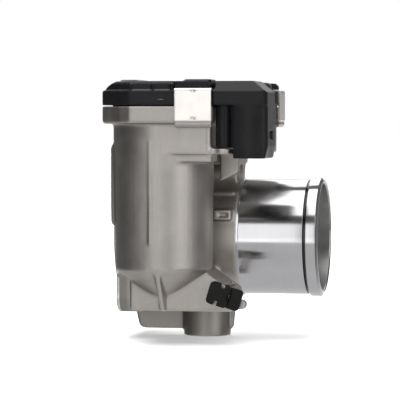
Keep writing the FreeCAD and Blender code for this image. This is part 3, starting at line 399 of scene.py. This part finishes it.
def moulded_nylon(settings):
    """Black glass-filled nylon: a satin skin with spark grain and pale fibre flecks."""
    black = tuple(settings.colour)
    finish = Finish("moulded_nylon", black, 0.4, specular=0.18)
    cloud = finish.noise(11 * MM, detail=3)
    fibres = finish.noise(0.25 * MM, detail=2, stretch=(4, 1, 1))
    colour = finish.blend(finish.span(cloud, 0.35, 0.65), tint(black, 0.8), tint(black, 1.25))
    colour = finish.blend(finish.span(fibres, 0.62, 0.8, 0.0, 0.5), colour, tint(black, 2.4))
    colour = finish.blend(finish.worn_edges(0.52, 0.6), colour, tint(black, 2.2))
    finish.colour(colour).roughness(cloud, 0.34, 0.48)
    finish.bump(finish.noise(0.22 * MM, detail=2), 0.018 * MM, 0.5)
    return finish.material


def metal(name, colour, rough, grain, stretch=(1, 1, 1), depth=0.004):
    """Plain worked metal: drawn, ground or plated, by how its grain is stretched."""
    finish = Finish(name, colour, rough, metallic=1.0)
    lines = finish.noise(grain * MM, detail=3, stretch=stretch)
    stain = finish.noise(6 * MM, detail=3)
    shade = finish.blend(finish.span(stain, 0.3, 0.7), tint(colour, 0.88), tint(colour, 1.08))
    shade = finish.blend(finish.worn_edges(), shade, tint(colour, 1.2))
    finish.colour(shade).roughness(stain, rough * 0.8, rough * 1.25)
    finish.bump(lines, depth * MM, 0.5)
    return finish.material


def plastic(name, colour, rough, grain=0.25, fleck=1.5, specular=0.5):
    """Moulded plastic or rubber with fine grain and a slight mottle."""
    finish = Finish(name, colour, rough, specular=specular)
    cloud = finish.noise(5 * MM, detail=3)
    fine = finish.noise(grain * MM, detail=2)
    shade = finish.blend(finish.span(cloud, 0.3, 0.7), tint(colour, 0.86), tint(colour, 1.12))
    shade = finish.blend(finish.span(fine, 0.6, 0.8, 0.0, 0.5), shade, tint(colour, fleck))
    finish.colour(shade).roughness(cloud, rough * 0.85, rough * 1.15)
    finish.bump(fine, 0.012 * MM, 0.4)
    return finish.material


def spring_strip(settings, foot):
    """Bright rolled spring strip, with painted shade along its bent foot."""
    bright = tuple(settings.colour)
    finish = Finish("clip_steel", bright, 0.32, metallic=1.0)
    rolled = finish.noise(0.25 * MM, detail=3, stretch=(1, 1, 30))
    stain = finish.noise(7 * MM, detail=3)
    colour = finish.blend(finish.span(stain, 0.3, 0.7), tint(bright, 0.93), bright)
    # painted shade: the lowest three millimetres or so of the clip are darkened
    painted_shade = finish.span(finish.axis("Z"), foot + 3.4 * MM, foot + 2.9 * MM)
    colour = finish.blend(painted_shade, colour, tint(bright, 0.42))
    finish.colour(colour).roughness(stain, 0.32, 0.42)
    finish.bump(rolled, 0.003 * MM, 0.5)
    return finish.material


def circuit_board():
    """Green solder mask with copper tracks showing through and bare pads."""
    green = (0.01, 0.09, 0.035)
    finish = Finish("circuit_board", green, 0.3, specular=0.6)
    track_step = (2.2 * MM, 3.1 * MM)
    across = finish.math("FRACT", finish.math("MULTIPLY", finish.axis("X"), 1 / track_step[0]))
    along = finish.math("FRACT", finish.math("MULTIPLY", finish.axis("Y"), 1 / track_step[1]))
    track = finish.math("MAXIMUM", finish.math("GREATER_THAN", across, 0.72),
                        finish.math("GREATER_THAN", along, 0.8))
    route = finish.span(finish.noise(7 * MM, detail=0), 0.48, 0.52)
    tracks = finish.math("MULTIPLY", track, route)
    shade = finish.blend(finish.span(finish.noise(4 * MM), 0.3, 0.7), tint(green, 0.8), tint(green, 1.2))
    shade = finish.blend(tracks, shade, (0.03, 0.20, 0.07))
    finish.colour(shade)
    finish.bump(tracks, 0.03 * MM, 0.5)
    return finish.material


def laminations():
    """Stacked motor sheets, edge on, with oil stains."""
    steel = (0.26, 0.26, 0.27)
    finish = Finish("laminations", steel, 0.4, metallic=1.0)
    sheet_step = 0.5 * MM
    sheets = finish.math("FRACT", finish.math("MULTIPLY", finish.axis("Z"), 1 / sheet_step))
    stain = finish.noise(5 * MM, detail=3)
    shade = finish.blend(finish.math("GREATER_THAN", sheets, 0.85), steel, tint(steel, 0.4))
    shade = finish.blend(finish.span(stain, 0.5, 0.8, 0.0, 0.6), shade, (0.20, 0.15, 0.10))
    finish.colour(shade).roughness(stain, 0.32, 0.5)
    finish.bump(sheets, 0.03 * MM, 0.5)
    return finish.material


def wound_copper():
    """Enamelled wire laid round and round the rotor."""
    copper = (0.55, 0.20, 0.07)
    finish = Finish("wound_copper", copper, 0.28, metallic=1.0)
    reach = finish.radius("X", "Y", (MOTOR.x, MOTOR.y))
    per_wire = 2 * math.pi / (0.55 * MM)
    turns = finish.math("SINE", finish.math("MULTIPLY", reach, per_wire))
    layers = finish.math("SINE", finish.math("MULTIPLY", finish.axis("Z"), per_wire))
    wires = finish.math("ADD", turns, layers)
    shade = finish.blend(finish.span(wires, -1.0, 1.2), tint(copper, 0.35), tint(copper, 1.2))
    finish.colour(shade).roughness(finish.noise(3 * MM), 0.22, 0.4)
    finish.bump(wires, 0.06 * MM, 0.7)
    return finish.material


# ---- mesh helpers ----------------------------------------------------------------------------
def piece(name, mesh, body, slot, *materials):
    """Link a new object to the scene, give it its materials and hang it on its body; slot is not used."""
    item = bpy.data.objects.new(name, mesh)
    bpy.context.scene.collection.objects.link(item)
    for material in materials:
        item.data.materials.append(material)
    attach(item, body)
    return item


def finished_mesh(item):
    """The mesh of an object with its modifiers applied."""
    graph = bpy.context.evaluated_depsgraph_get()
    return bpy.data.meshes.new_from_object(item.evaluated_get(graph), depsgraph=graph)


def rounded_copy(start, voxel, passes, faces, name):
    """A moulded or cast copy of a mesh: regrown on a fine grid, eased, then thinned."""
    source = bpy.data.objects.new("rounding", start.copy())
    bpy.context.scene.collection.objects.link(source)
    remesh = source.modifiers.new("grid", "REMESH")
    remesh.mode = "VOXEL"
    remesh.voxel_size = voxel
    ease = source.modifiers.new("ease", "SMOOTH")
    ease.factor = 0.5
    ease.iterations = passes
    grown = finished_mesh(source)
    count = 2 * len(grown.polygons)
    bpy.data.objects.remove(source)
    if count > faces:
        thin = bpy.data.objects.new("thinning", grown)
        bpy.context.scene.collection.objects.link(thin)
        thin.modifiers.new("thin", "DECIMATE").ratio = faces / count
        grown = finished_mesh(thin)
        bpy.data.objects.remove(thin)
    grown.name = name
    grown.materials.clear()
    grown.shade_smooth()
    return grown


def bar_along(axis, radius, start, end, centre):
    """A round cutter from start to end along X or Z, about a line through centre."""
    turn = Matrix.Rotation(math.radians(90), 4, "Y") if axis == "X" else Matrix.Identity(4)
    middle = (start + end) / 2
    place = (middle, *centre) if axis == "X" else (*centre, middle)
    work = bmesh.new()
    bmesh.ops.create_cone(work, cap_ends=True, segments=96, radius1=radius, radius2=radius, depth=end - start,
                          matrix=Matrix.Translation(place) @ turn)
    mesh = bpy.data.meshes.new("cutter")
    work.to_mesh(mesh)
    work.free()
    return mesh


def without(mesh, *cutters):
    """The mesh with each cutter taken out of it."""
    body = bpy.data.objects.new("cut", mesh)
    bpy.context.scene.collection.objects.link(body)
    tools = []
    for cutter in cutters:
        tool = bpy.data.objects.new("cutter", cutter)
        bpy.context.scene.collection.objects.link(tool)
        step = body.modifiers.new("cut", "BOOLEAN")
        step.operation = "DIFFERENCE"
        step.object = tool
        step.solver = "EXACT"
        tools.append(tool)
    result = finished_mesh(body)
    for item in (body, *tools):
        bpy.data.objects.remove(item)
    return result


def fillet(points, radius, steps=4):
    """Round the inner corners of an open line of 2-D points."""
    rounded = [points[0]]
    for before, corner, after in zip(points, points[1:], points[2:]):
        a = (Vector(before) - Vector(corner))
        b = (Vector(after) - Vector(corner))
        reach = min(radius, a.length * 0.45, b.length * 0.45)
        start = Vector(corner) + a.normalized() * reach
        end = Vector(corner) + b.normalized() * reach
        for i in range(steps + 1):
            t = i / steps
            rounded.append(tuple(start * (1 - t) ** 2 + Vector(corner) * 2 * t * (1 - t) + end * t ** 2))
    rounded.append(points[-1])
    return rounded


def lathed(name, profile, segments):
    """A closed ring about the X axis from (x, radius) points."""
    work = bmesh.new()
    loops = []
    for i in range(segments):
        angle = 2 * math.pi * i / segments
        loops.append([work.verts.new((x, r * math.cos(angle), r * math.sin(angle))) for x, r in profile])
    count = len(profile)
    for i in range(segments):
        here = loops[i]
        there = loops[(i + 1) % segments]
        for j in range(count):
            k = (j + 1) % count
            work.faces.new((here[j], here[k], there[k], there[j]))
    bmesh.ops.recalc_face_normals(work, faces=work.faces[:])
    mesh = bpy.data.meshes.new(name)
    work.to_mesh(mesh)
    work.free()
    mesh.shade_smooth()
    return mesh


def sharpen(mesh, degrees=28.0):
    """Keep flat faces flat: edges steeper than this stay sharp under smooth shading."""
    mesh.shade_smooth()
    mesh.set_sharp_from_angle(angle=math.radians(degrees))


# ---- operators -------------------------------------------------------------------------------
class THROTTLE_OT_casting(bpy.types.Operator):
    """Grow the die-cast housing with its fillets, up to the machined spigot."""

    bl_idname = "throttle.casting"
    bl_label = "Cast housing"

    def execute(self, context):
        settings = context.scene.casting
        voxel = settings.voxel * 1.0
        passes = settings.passes
        past_mouth = 120 * MM
        spigot = bar_along("X", SPIGOT_CUT_R, SEAT_START, past_mouth, (0, 0))
        hollow = bar_along("Z", HOLLOW_R, *HOLLOW_SPAN, HOLLOW_CENTRE)
        blank = without(frame["nodes"]["throttle_housing"].data.copy(), spigot, hollow)
        mesh = rounded_copy(blank, voxel, passes, settings.faces, "casting")
        for vert in mesh.vertices:
            vert.co.x = max(vert.co.x, UNDER_SKIN)
        casting = piece("casting", mesh, "root", "cast_aluminium", cast_aluminium(settings))
        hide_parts("throttle_housing")
        return {"FINISHED"}


class THROTTLE_OT_spigot(bpy.types.Operator):
    """Turn the polished hose spigot with its groove and bead."""

    bl_idname = "throttle.spigot"
    bl_label = "Hose spigot"

    def execute(self, context):
        settings = context.scene.spigot
        outer = [(SEAT_START - 0.3 * MM, SEAT_R + 0.55 * MM), (SEAT_START + 0.7 * MM, SEAT_R),
                 (GROOVE_START - 0.1 * MM, SEAT_R), (GROOVE_START, GROOVE_R),
                 (BEAD_START - 0.1 * MM, GROOVE_R), (BEAD_START, BEAD_R - 0.25 * MM),
                 (BEAD_START + 0.3 * MM, BEAD_R), (BEAD_END, BEAD_R),
                 (MOUTH_X, BEAD_R - 1.5 * MM), (MOUTH_X, LIP_R)]
        inner_r = MOUTH_R + 0.1 * MM
        inner = [(MOUTH_X, LIP_R), (MOUTH_X - 0.6 * MM, inner_r), (BORE_END, inner_r)]
        seat = [(SEAT_START + 0.5 * MM + (GROOVE_START - SEAT_START) * t, SEAT_R) for t in (0.25, 0.5, 0.75)]
        outline = outer[:2] + seat + outer[2:]
        profile = fillet(outline, 0.2 * MM)[:-1] + fillet(inner, 0.5 * MM)
        profile += [(BORE_END, SPIGOT_WALL_R), (SEAT_START - 0.3 * MM, SPIGOT_WALL_R)]
        mesh = lathed("spigot", profile, settings.segments)
        sharpen(mesh)
        finish = polished_aluminium(settings)
        spigot = piece("spigot", mesh, "root", "cast_aluminium", finish)
        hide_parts("throttle_housing")
        return {"FINISHED"}


class THROTTLE_OT_bore(bpy.types.Operator):
    """Line the bore with its machined wall, drilled for the shaft."""

    bl_idname = "throttle.bore"
    bl_label = "Machined bore"

    def execute(self, context):
        start = 0.05 * MM
        step = (BORE_END - start) / BORE_RINGS
        wall_r = BORE_R - 0.03 * MM
        wall = [(start + step * i, wall_r) for i in range(BORE_RINGS + 1)]
        mouth = [(BORE_END + 2.2 * MM, MOUTH_R), (MOUTH_EDGE, MOUTH_R)]
        back = [(MOUTH_EDGE, MOUTH_R + MOUTH_WALL), (BORE_END + 1.0 * MM, MOUTH_R + MOUTH_WALL)]
        back += [(x, BORE_BACK_R) for x, _ in reversed(wall)]
        mesh = lathed("bore_wall", wall + mouth + back, context.scene.spigot.segments)
        beyond = 60 * MM
        mesh = without(mesh, bar_along("Z", SHAFT_HOLE_R, -beyond, beyond, (SHAFT.x, SHAFT.y)))
        sharpen(mesh)
        bore = piece("bore_wall", mesh, "root", "cast_aluminium", bored_aluminium())
        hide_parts("throttle_housing")
        return {"FINISHED"}


class THROTTLE_OT_flange_face(bpy.types.Operator):
    """Lay the milled skin on the manifold flange."""

    bl_idname = "throttle.flange_face"
    bl_label = "Milled flange face"

    def execute(self, context):
        work = bmesh.new()
        work.from_mesh(frame["nodes"]["throttle_housing"].data)
        off_plane = 0.01 * MM
        bmesh.ops.remove_doubles(work, verts=work.verts[:], dist=MERGE)
        away = [f for f in work.faces if any(v.co.x > off_plane for v in f.verts)]
        bmesh.ops.delete(work, geom=away, context="FACES")
        if not work.faces:
            raise RuntimeError("the housing has no face at the manifold")
        bmesh.ops.dissolve_limit(work, angle_limit=0.01, verts=work.verts[:], edges=work.edges[:])
        ring = bmesh.ops.inset_region(work, faces=work.faces[:], thickness=SKIN_EDGE, use_boundary=True,
                                      use_even_offset=True)["faces"]
        for vert in {v for f in ring for v in f.verts if any(e.is_boundary for e in v.link_edges)}:
            vert.co.x += SKIN_EDGE_DROP
        skin = bmesh.ops.extrude_face_region(work, geom=work.faces[:])
        moved = [v for v in skin["geom"] if isinstance(v, bmesh.types.BMVert)]
        bmesh.ops.translate(work, verts=moved, vec=(SKIN_DEPTH, 0, 0))
        bmesh.ops.recalc_face_normals(work, faces=work.faces[:])
        mesh = bpy.data.meshes.new("flange_face")
        work.to_mesh(mesh)
        work.free()
        mesh.materials.clear()
        sharpen(mesh)
        square_on = 0.99
        for polygon in mesh.polygons:
            if abs(polygon.normal.x) > square_on:
                polygon.use_smooth = False
        face = piece("flange_face", mesh, "root", "cast_aluminium", milled_face())
        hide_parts("throttle_housing")
        return {"FINISHED"}


class THROTTLE_OT_gear_cover(bpy.types.Operator):
    """Grow the moulded gear cover with its connector shroud."""

    bl_idname = "throttle.gear_cover"
    bl_label = "Gear cover"

    def execute(self, context):
        settings = context.scene.cover
        voxel = settings.voxel * 1.0
        node = frame["nodes"]["gear_cover"]
        mesh = rounded_copy(node.data, voxel, settings.passes, COVER_FACES, "moulded_cover")
        cover = piece("moulded_cover", mesh, "root", "cover_plastic", moulded_nylon(settings))
        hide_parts("gear_cover")
        return {"FINISHED"}


class THROTTLE_OT_cover_beading(bpy.types.Operator):
    """Mould the bead along the cover's ledge and the ejector mark below it."""

    bl_idname = "throttle.cover_beading"
    bl_label = "Cover beading"

    def execute(self, context):
        work = bmesh.new()
        path = fillet([(x * MM, y * MM) for x, y in LEDGE_LINE], LEDGE_CORNER, 10)
        strip(work, path, LEDGE_Z, *LEDGE_BEAD)
        mark = Matrix.Translation(MARK_CENTRE) @ Matrix.Diagonal((*MARK_SIZE, 1))
        bmesh.ops.create_icosphere(work, subdivisions=3, radius=0.5, matrix=mark)
        bmesh.ops.recalc_face_normals(work, faces=work.faces[:])
        mesh = bpy.data.meshes.new("cover_beading")
        work.to_mesh(mesh)
        work.free()
        sharpen(mesh, 40)
        finish = plastic("burnished_nylon", (0.03, 0.03, 0.032), 0.22, 0.3, 1.5, 0.8)
        beading = piece("cover_beading", mesh, "root", "cover_plastic", finish)
        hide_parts("gear_cover")
        return {"FINISHED"}


def strip(work, path, z, height, width):
    """A low half-round bead along a line in plan."""
    points = 7
    rings = []
    for i, (x, y) in enumerate(path):
        a = Vector(path[max(0, i - 1)])
        b = Vector(path[min(len(path) - 1, i + 1)])
        along = (b - a).normalized()
        across = Vector((along.y, -along.x))
        ring = []
        for k in range(points):
            turn = math.pi * k / (points - 1)
            out = across * math.cos(turn) * width / 2
            ring.append(work.verts.new((x + out.x, y + out.y, z + math.sin(turn) * height)))
        rings.append(ring)
    for first, second in zip(rings, rings[1:]):
        for k in range(points):
            n = (k + 1) % points
            work.faces.new((first[k], first[n], second[n], second[k]))
    for ring in (rings[0], rings[-1]):
        work.faces.new(ring)


class THROTTLE_OT_cover_clips(bpy.types.Operator):
    """Bend the four bright spring clips, with a pressed dimple at each end of the plate."""

    bl_idname = "throttle.cover_clips"
    bl_label = "Cover clips"

    def execute(self, context):
        settings = context.scene.clips
        finish = spring_strip(settings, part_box("cover_clips")[0].z)
        for i, island in enumerate(islands(frame["nodes"]["cover_clips"].data)):
            mesh = bent_clip(island, settings.thickness, "cover_clip_%d" % (i + 1))
            clip = piece(mesh.name, mesh, "root", "clip_steel", finish)
            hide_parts("cover_clips")
        return {"FINISHED"}


def islands(mesh):
    """The corner boxes of a mesh's separate solids."""
    work = bmesh.new()
    work.from_mesh(mesh)
    bmesh.ops.remove_doubles(work, verts=work.verts[:], dist=MERGE)
    left = set(work.verts)
    boxes = []
    while left:
        group = set()
        edge = [left.pop()]
        while edge:
            vert = edge.pop()
            group.add(vert)
            for link in vert.link_edges:
                other = link.other_vert(vert)
                if other in left:
                    left.remove(other)
                    edge.append(other)
        low = Vector([min(v.co[k] for v in group) for k in range(3)])
        high = Vector([max(v.co[k] for v in group) for k in range(3)])
        boxes.append((low, high))
    work.free()
    return sorted(boxes, key=lambda b: (b[0].x, b[0].y))


def bent_clip(island, thickness, name):
    """One clip inside its solid's box, facing away from the middle of the cover."""
    low, high = island
    centre = (low + high) / 2
    middle_low, middle_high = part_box("cover_gasket")
    away = centre - (middle_low + middle_high) / 2
    size = high - low
    along_x = size.x > size.y
    out = Vector((0, math.copysign(1, away.y), 0)) if along_x else Vector((math.copysign(1, away.x), 0, 0))
    side = Vector((0, 0, 1)).cross(out)
    width = size.x if along_x else size.y
    depth = size.y if along_x else size.x
    face = centre + out * depth / 2
    top, bottom = high.z, low.z
    half = thickness / 2
    line = [(-depth + half, top - half), (-half, top - half), (-half, bottom + 3.5 * MM),
            (-half - 0.5 * MM, bottom + 2.9 * MM), (-half - 0.2 * MM, bottom + 1.6 * MM),
            (-1.3 * MM, bottom + half), (-2.4 * MM, bottom + half), (-depth + 1.6 * MM, bottom + 1.6 * MM)]
    path = fillet(line, 0.9 * MM, 6)
    work = bmesh.new()
    grid = []
    for u, z in dense(path, 0.5 * MM):
        row = []
        on_plate = u > -1.4 * MM
        for i in range(CLIP_STEPS + 1):
            s = (i / CLIP_STEPS - 0.5) * (width - CLIP_SIDE_GAP)
            push = 0.0
            for end in (top - 1.1 * MM, bottom + 4.6 * MM):
                reach = math.hypot(s / DIMPLE_REACH[0], (z - end) / DIMPLE_REACH[1])
                push += DIMPLE_DEPTH * max(0.0, 1 - reach ** 2) if on_plate else 0.0
            row.append(work.verts.new(Vector((face.x, face.y, 0)) + out * (u - push) + side * s
                                      + Vector((0, 0, z))))
        grid.append(row)
    for first, second in zip(grid, grid[1:]):
        for i in range(CLIP_STEPS):
            work.faces.new((first[i], first[i + 1], second[i + 1], second[i]))
    mesh = bpy.data.meshes.new(name)
    bmesh.ops.recalc_face_normals(work, faces=work.faces[:])
    work.to_mesh(mesh)
    work.free()
    sheet = bpy.data.objects.new("sheet", mesh)
    bpy.context.scene.collection.objects.link(sheet)
    solid = sheet.modifiers.new("thickness", "SOLIDIFY")
    solid.thickness = thickness * 0.97
    solid.offset = 0
    bevel = sheet.modifiers.new("edge", "BEVEL")
    bevel.width = 0.12 * MM
    bevel.segments = 2
    bevel.angle_limit = math.radians(50)
    result = finished_mesh(sheet)
    bpy.data.objects.remove(sheet)
    result.name = name
    result.shade_smooth()
    return result


def dense(path, step):
    """The same line with points no further apart than step."""
    points = [path[0]]
    for a, b in zip(path, path[1:]):
        length = math.dist(a, b)
        count = max(1, math.ceil(length / step))
        points += [(a[0] + (b[0] - a[0]) * i / count, a[1] + (b[1] - a[1]) * i / count)
                   for i in range(1, count + 1)]
    return points


class THROTTLE_OT_harness_clip(bpy.types.Operator):
    """Mould the wiring clip on the lug under the spigot."""

    bl_idname = "throttle.harness_clip"
    bl_label = "Harness clip"

    def execute(self, context):
        voxel, passes = 0.2 * MM, 2
        node = frame["nodes"]["harness_clip"]
        mesh = rounded_copy(node.data, voxel, passes, WIRING_CLIP_FACES, "wiring_clip")
        finish = plastic("clip_nylon", (0.0035, 0.0035, 0.003), 0.36, 0.2, 2.0, 0.14)
        clip = piece("wiring_clip", mesh, "root", "clip_plastic", finish)
        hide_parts("harness_clip")
        return {"FINISHED"}


class THROTTLE_OT_inner_finishes(bpy.types.Operator):
    """Give every carried-over part its own worked surface."""

    bl_idname = "throttle.inner_finishes"
    bl_label = "Finishes of the inner parts"

    def execute(self, context):
        along_z = (1, 1, 40)
        finishes = {
            plastic("seal_rubber", (0.012, 0.012, 0.013), 0.62, 0.3, 1.4): [
                "cover_gasket", "shaft_seals", "manifold_gasket", "motor_support_ring"],
            metal("tin_plate", (0.66, 0.66, 0.64), 0.25, 0.15): [
                "connector_terminals", "motor_contacts", "motor_terminals"],
            circuit_board(): ["sensor_board"],
            plastic("chip_moulding", (0.015, 0.015, 0.016), 0.5, 0.12): ["sensor_chip"],
            metal("zinc_plate", (0.50, 0.50, 0.49), 0.34, 0.3, along_z): [
                "motor_can", "motor_flange", "bearing_plug"],
            plastic("ferrite", (0.035, 0.035, 0.038), 0.5, 0.3): ["motor_magnets"],
            plastic("brush_card", (0.045, 0.035, 0.025), 0.5): ["motor_end_cap", "spring_sleeve"],
            plastic("pressed_carbon", (0.02, 0.02, 0.021), 0.35, 0.15): ["motor_brushes"],
            metal("sintered_bronze", (0.50, 0.32, 0.13), 0.42, 0.12): ["motor_bushes", "idler_washer"],
            metal("screw_steel", (0.42, 0.42, 0.41), 0.33, 0.2): [
                "motor_screws", "stop_screw", "plate_screws"],
            metal("ground_steel", (0.58, 0.58, 0.58), 0.2, 0.1, (30, 30, 1), 0.002): [
                "idler_pin", "throttle_shaft", "motor_shaft", "gear_insert"],
            metal("bearing_steel", (0.62, 0.62, 0.63), 0.12, 0.1): [
                "upper_bearing", "upper_bearing_needles", "lower_bearing_outer", "lower_bearing_inner",
                "lower_bearing_balls"],
            metal("spring_wire", (0.24, 0.235, 0.23), 0.35, 0.15): ["return_spring"],
            metal("plate_brass", (0.60, 0.46, 0.21), 0.26, 0.25, (1, 1, 60), 0.003): ["throttle_plate"],
            plastic("gear_acetal", (0.62, 0.57, 0.45), 0.38, 0.4, 1.1): ["sector_gear", "intermediate_gear"],
            metal("target_metal", (0.62, 0.55, 0.34), 0.3, 0.2): ["sensor_rotor"],
            metal("pinion_metal", (0.36, 0.35, 0.33), 0.4, 0.1): ["motor_pinion"],
            laminations(): ["armature_core"],
            wound_copper(): ["armature_windings"],
            metal("commutator_copper", (0.60, 0.26, 0.12), 0.22, 0.1, (30, 30, 1), 0.003): ["commutator"],
        }
        for material, nodes in finishes.items():
            for node in nodes:
                mesh = frame["nodes"][node].data
                mesh.materials.clear()
                mesh.materials.append(material)
        return {"FINISHED"}


def panel_light(name, place, target, size, radiance):
    """A soft box: a rectangle of even light."""
    light = bpy.data.lights.new(name, "AREA")
    light.shape = "RECTANGLE"
    light.size, light.size_y = size
    light.energy = radiance * math.pi * size[0] * size[1]
    item = bpy.data.objects.new(name, light)
    bpy.context.scene.collection.objects.link(item)
    item.location = place
    item.rotation_euler = (Vector(target) - Vector(place)).to_track_quat("-Z", "Y").to_euler()
    item.visible_camera = False


class THROTTLE_OT_studio(bpy.types.Operator):
    """Set the camera, the soft lights and the pale floor."""

    bl_idname = "throttle.studio"
    bl_label = "Studio"

    def execute(self, context):
        settings = context.scene.studio
        target = Vector((39.0, 0.0, 18.8)) * MM
        azimuth, elevation = settings.azimuth, settings.elevation
        back = Vector((math.sin(azimuth) * math.cos(elevation), -math.cos(azimuth) * math.cos(elevation),
                       math.sin(elevation)))
        camera = bpy.data.objects.new("camera", bpy.data.cameras.new("camera"))
        context.scene.collection.objects.link(camera)
        camera.location = target + back * settings.distance
        camera.rotation_euler = (-back).to_track_quat("-Z", "Y").to_euler()
        camera.data.lens = settings.lens
        camera.data.clip_end = 50
        context.scene.camera = camera
        self.floor(CAD_BOX[0].z)
        self.lights(settings, target)
        self.world(context.scene)
        context.scene.view_settings.view_transform = "Standard"
        return {"FINISHED"}

    def floor(self, z):
        work = bmesh.new()
        bmesh.ops.create_grid(work, x_segments=2, y_segments=2, size=12)
        mesh = bpy.data.meshes.new("floor")
        work.to_mesh(mesh)
        work.free()
        finish = Finish("floor_paper", (0.93, 0.93, 0.93), 0.9, specular=0.1)
        mottle = finish.noise(0.4, detail=2)
        finish.colour(finish.blend(mottle, (0.925, 0.925, 0.925), (0.935, 0.935, 0.935)))
        mesh.materials.append(finish.material)
        floor = bpy.data.objects.new("floor", mesh)
        floor.location.z = z - 0.2 * MM
        bpy.context.scene.collection.objects.link(floor)
        floor.visible_glossy = False

    def lights(self, settings, target):
        """Soft boxes at a bearing from the camera and a height angle, and an even wash on the floor."""
        for name, bearing, height, width, tall, radiance in (
                ("key_panel", 42, 14, 34, 46, settings.key),
                ("front_panel", -18, 9, 19, 36, settings.key),
                ("back_panel", 180, 40, 46, 38, settings.back),
                ("low_back_panel", 180, 3, 40, 26, settings.back * 0.5)):
            around = settings.azimuth + math.radians(bearing)
            up = math.radians(height)
            reach = 1.6
            place = target + Vector((math.sin(around) * math.cos(up), -math.cos(around) * math.cos(up),
                                     math.sin(up))) * reach
            size = [2 * reach * math.tan(math.radians(angle) / 2) for angle in (width, tall)]
            panel_light(name, place, target, size, radiance)
        panel_light("top_panel", (-0.1, -0.35, 1.0), (-0.1, -0.35, 0), (1.0, 1.3), settings.top)
        for name, share, shadow in (("floor_wash", 0.82, False), ("contact_shade", 0.18, True)):
            wash = bpy.data.objects.new(name, bpy.data.lights.new(name, "SUN"))
            bpy.context.scene.collection.objects.link(wash)
            wash.data.angle = math.radians(70)
            wash.data.energy = settings.wash * share
            wash.data.use_shadow = shadow
            wash.visible_glossy = False

    def world(self, scene):
        """A white backdrop; what the metal mirrors is pale in front and below, and dark to the left."""
        world = bpy.data.worlds.new("studio")
        scene.world = world
        world.use_nodes = True
        tree = world.node_tree

        def add(kind, **values):
            node = tree.nodes.new(kind)
            for key, value in values.items():
                setattr(node, key, value)
            return node

        def span(source, low, high, to_low, to_high):
            node = add("ShaderNodeMapRange")
            ends = {"From Min": low, "From Max": high, "To Min": to_low, "To Max": to_high}
            for key, value in ends.items():
                node.inputs[key].default_value = value
            tree.links.new(source, node.inputs["Value"])
            return node.outputs["Result"]

        def join(operation, first, second):
            node = add("ShaderNodeMath", operation=operation)
            tree.links.new(first, node.inputs[0])
            tree.links.new(second, node.inputs[1])
            return node.outputs["Value"]

        split = add("ShaderNodeSeparateXYZ")
        tree.links.new(add("ShaderNodeTexCoord").outputs["Generated"], split.inputs["Vector"])
        x, z = split.outputs["X"], split.outputs["Z"]
        walls = span(x, -0.8, 0.6, 0.09, 0.24)
        front_and_back = span(join("MULTIPLY", x, x), 0.95, 0.05, 0.0, 1.0)
        below = join("MULTIPLY", span(z, 0.0, -0.12, 0.0, 0.9), front_and_back)
        room = add("ShaderNodeBackground")
        tree.links.new(join("ADD", walls, below), room.inputs["Strength"])
        backdrop = tree.nodes["Background"]
        backdrop.inputs["Color"].default_value = (1, 1, 1, 1)
        mix = add("ShaderNodeMixShader")
        tree.links.new(add("ShaderNodeLightPath").outputs["Is Camera Ray"], mix.inputs["Fac"])
        tree.links.new(room.outputs["Background"], mix.inputs[1])
        tree.links.new(backdrop.outputs["Background"], mix.inputs[2])
        tree.links.new(mix.outputs["Shader"], tree.nodes["World Output"].inputs["Surface"])


OPERATORS = (
    THROTTLE_OT_casting, THROTTLE_OT_spigot, THROTTLE_OT_bore, THROTTLE_OT_flange_face,
    THROTTLE_OT_gear_cover, THROTTLE_OT_cover_beading, THROTTLE_OT_cover_clips,
    THROTTLE_OT_harness_clip, THROTTLE_OT_inner_finishes, THROTTLE_OT_studio,
)


class VIEW3D_PT_throttle_body(bpy.types.Panel):
    """Lists the pieces in the sidebar."""

    bl_label = "Throttle body"
    bl_space_type = "VIEW_3D"
    bl_region_type = "UI"
    bl_category = "Throttle body"

    def draw(self, context):
        for operator in OPERATORS:
            self.layout.operator(operator.bl_idname, text=operator.bl_label)


def register():
    for item in SETTINGS + OPERATORS + (VIEW3D_PT_throttle_body,):
        bpy.utils.register_class(item)
    bpy.types.Scene.casting = bpy.props.PointerProperty(type=CastingSettings)
    bpy.types.Scene.spigot = bpy.props.PointerProperty(type=SpigotSettings)
    bpy.types.Scene.cover = bpy.props.PointerProperty(type=CoverSettings)
    bpy.types.Scene.clips = bpy.props.PointerProperty(type=ClipSettings)
    bpy.types.Scene.studio = bpy.props.PointerProperty(type=StudioSettings)


def unregister():
    for name in ("casting", "spigot", "cover", "clips", "studio"):
        delattr(bpy.types.Scene, name)
    for item in reversed(SETTINGS + OPERATORS + (VIEW3D_PT_throttle_body,)):
        bpy.utils.unregister_class(item)


def main():
    register()
    for operator in OPERATORS:
        group, name = operator.bl_idname.split(".")
        getattr(getattr(bpy.ops, group), name)()


if __name__ == "__main__":
    main()
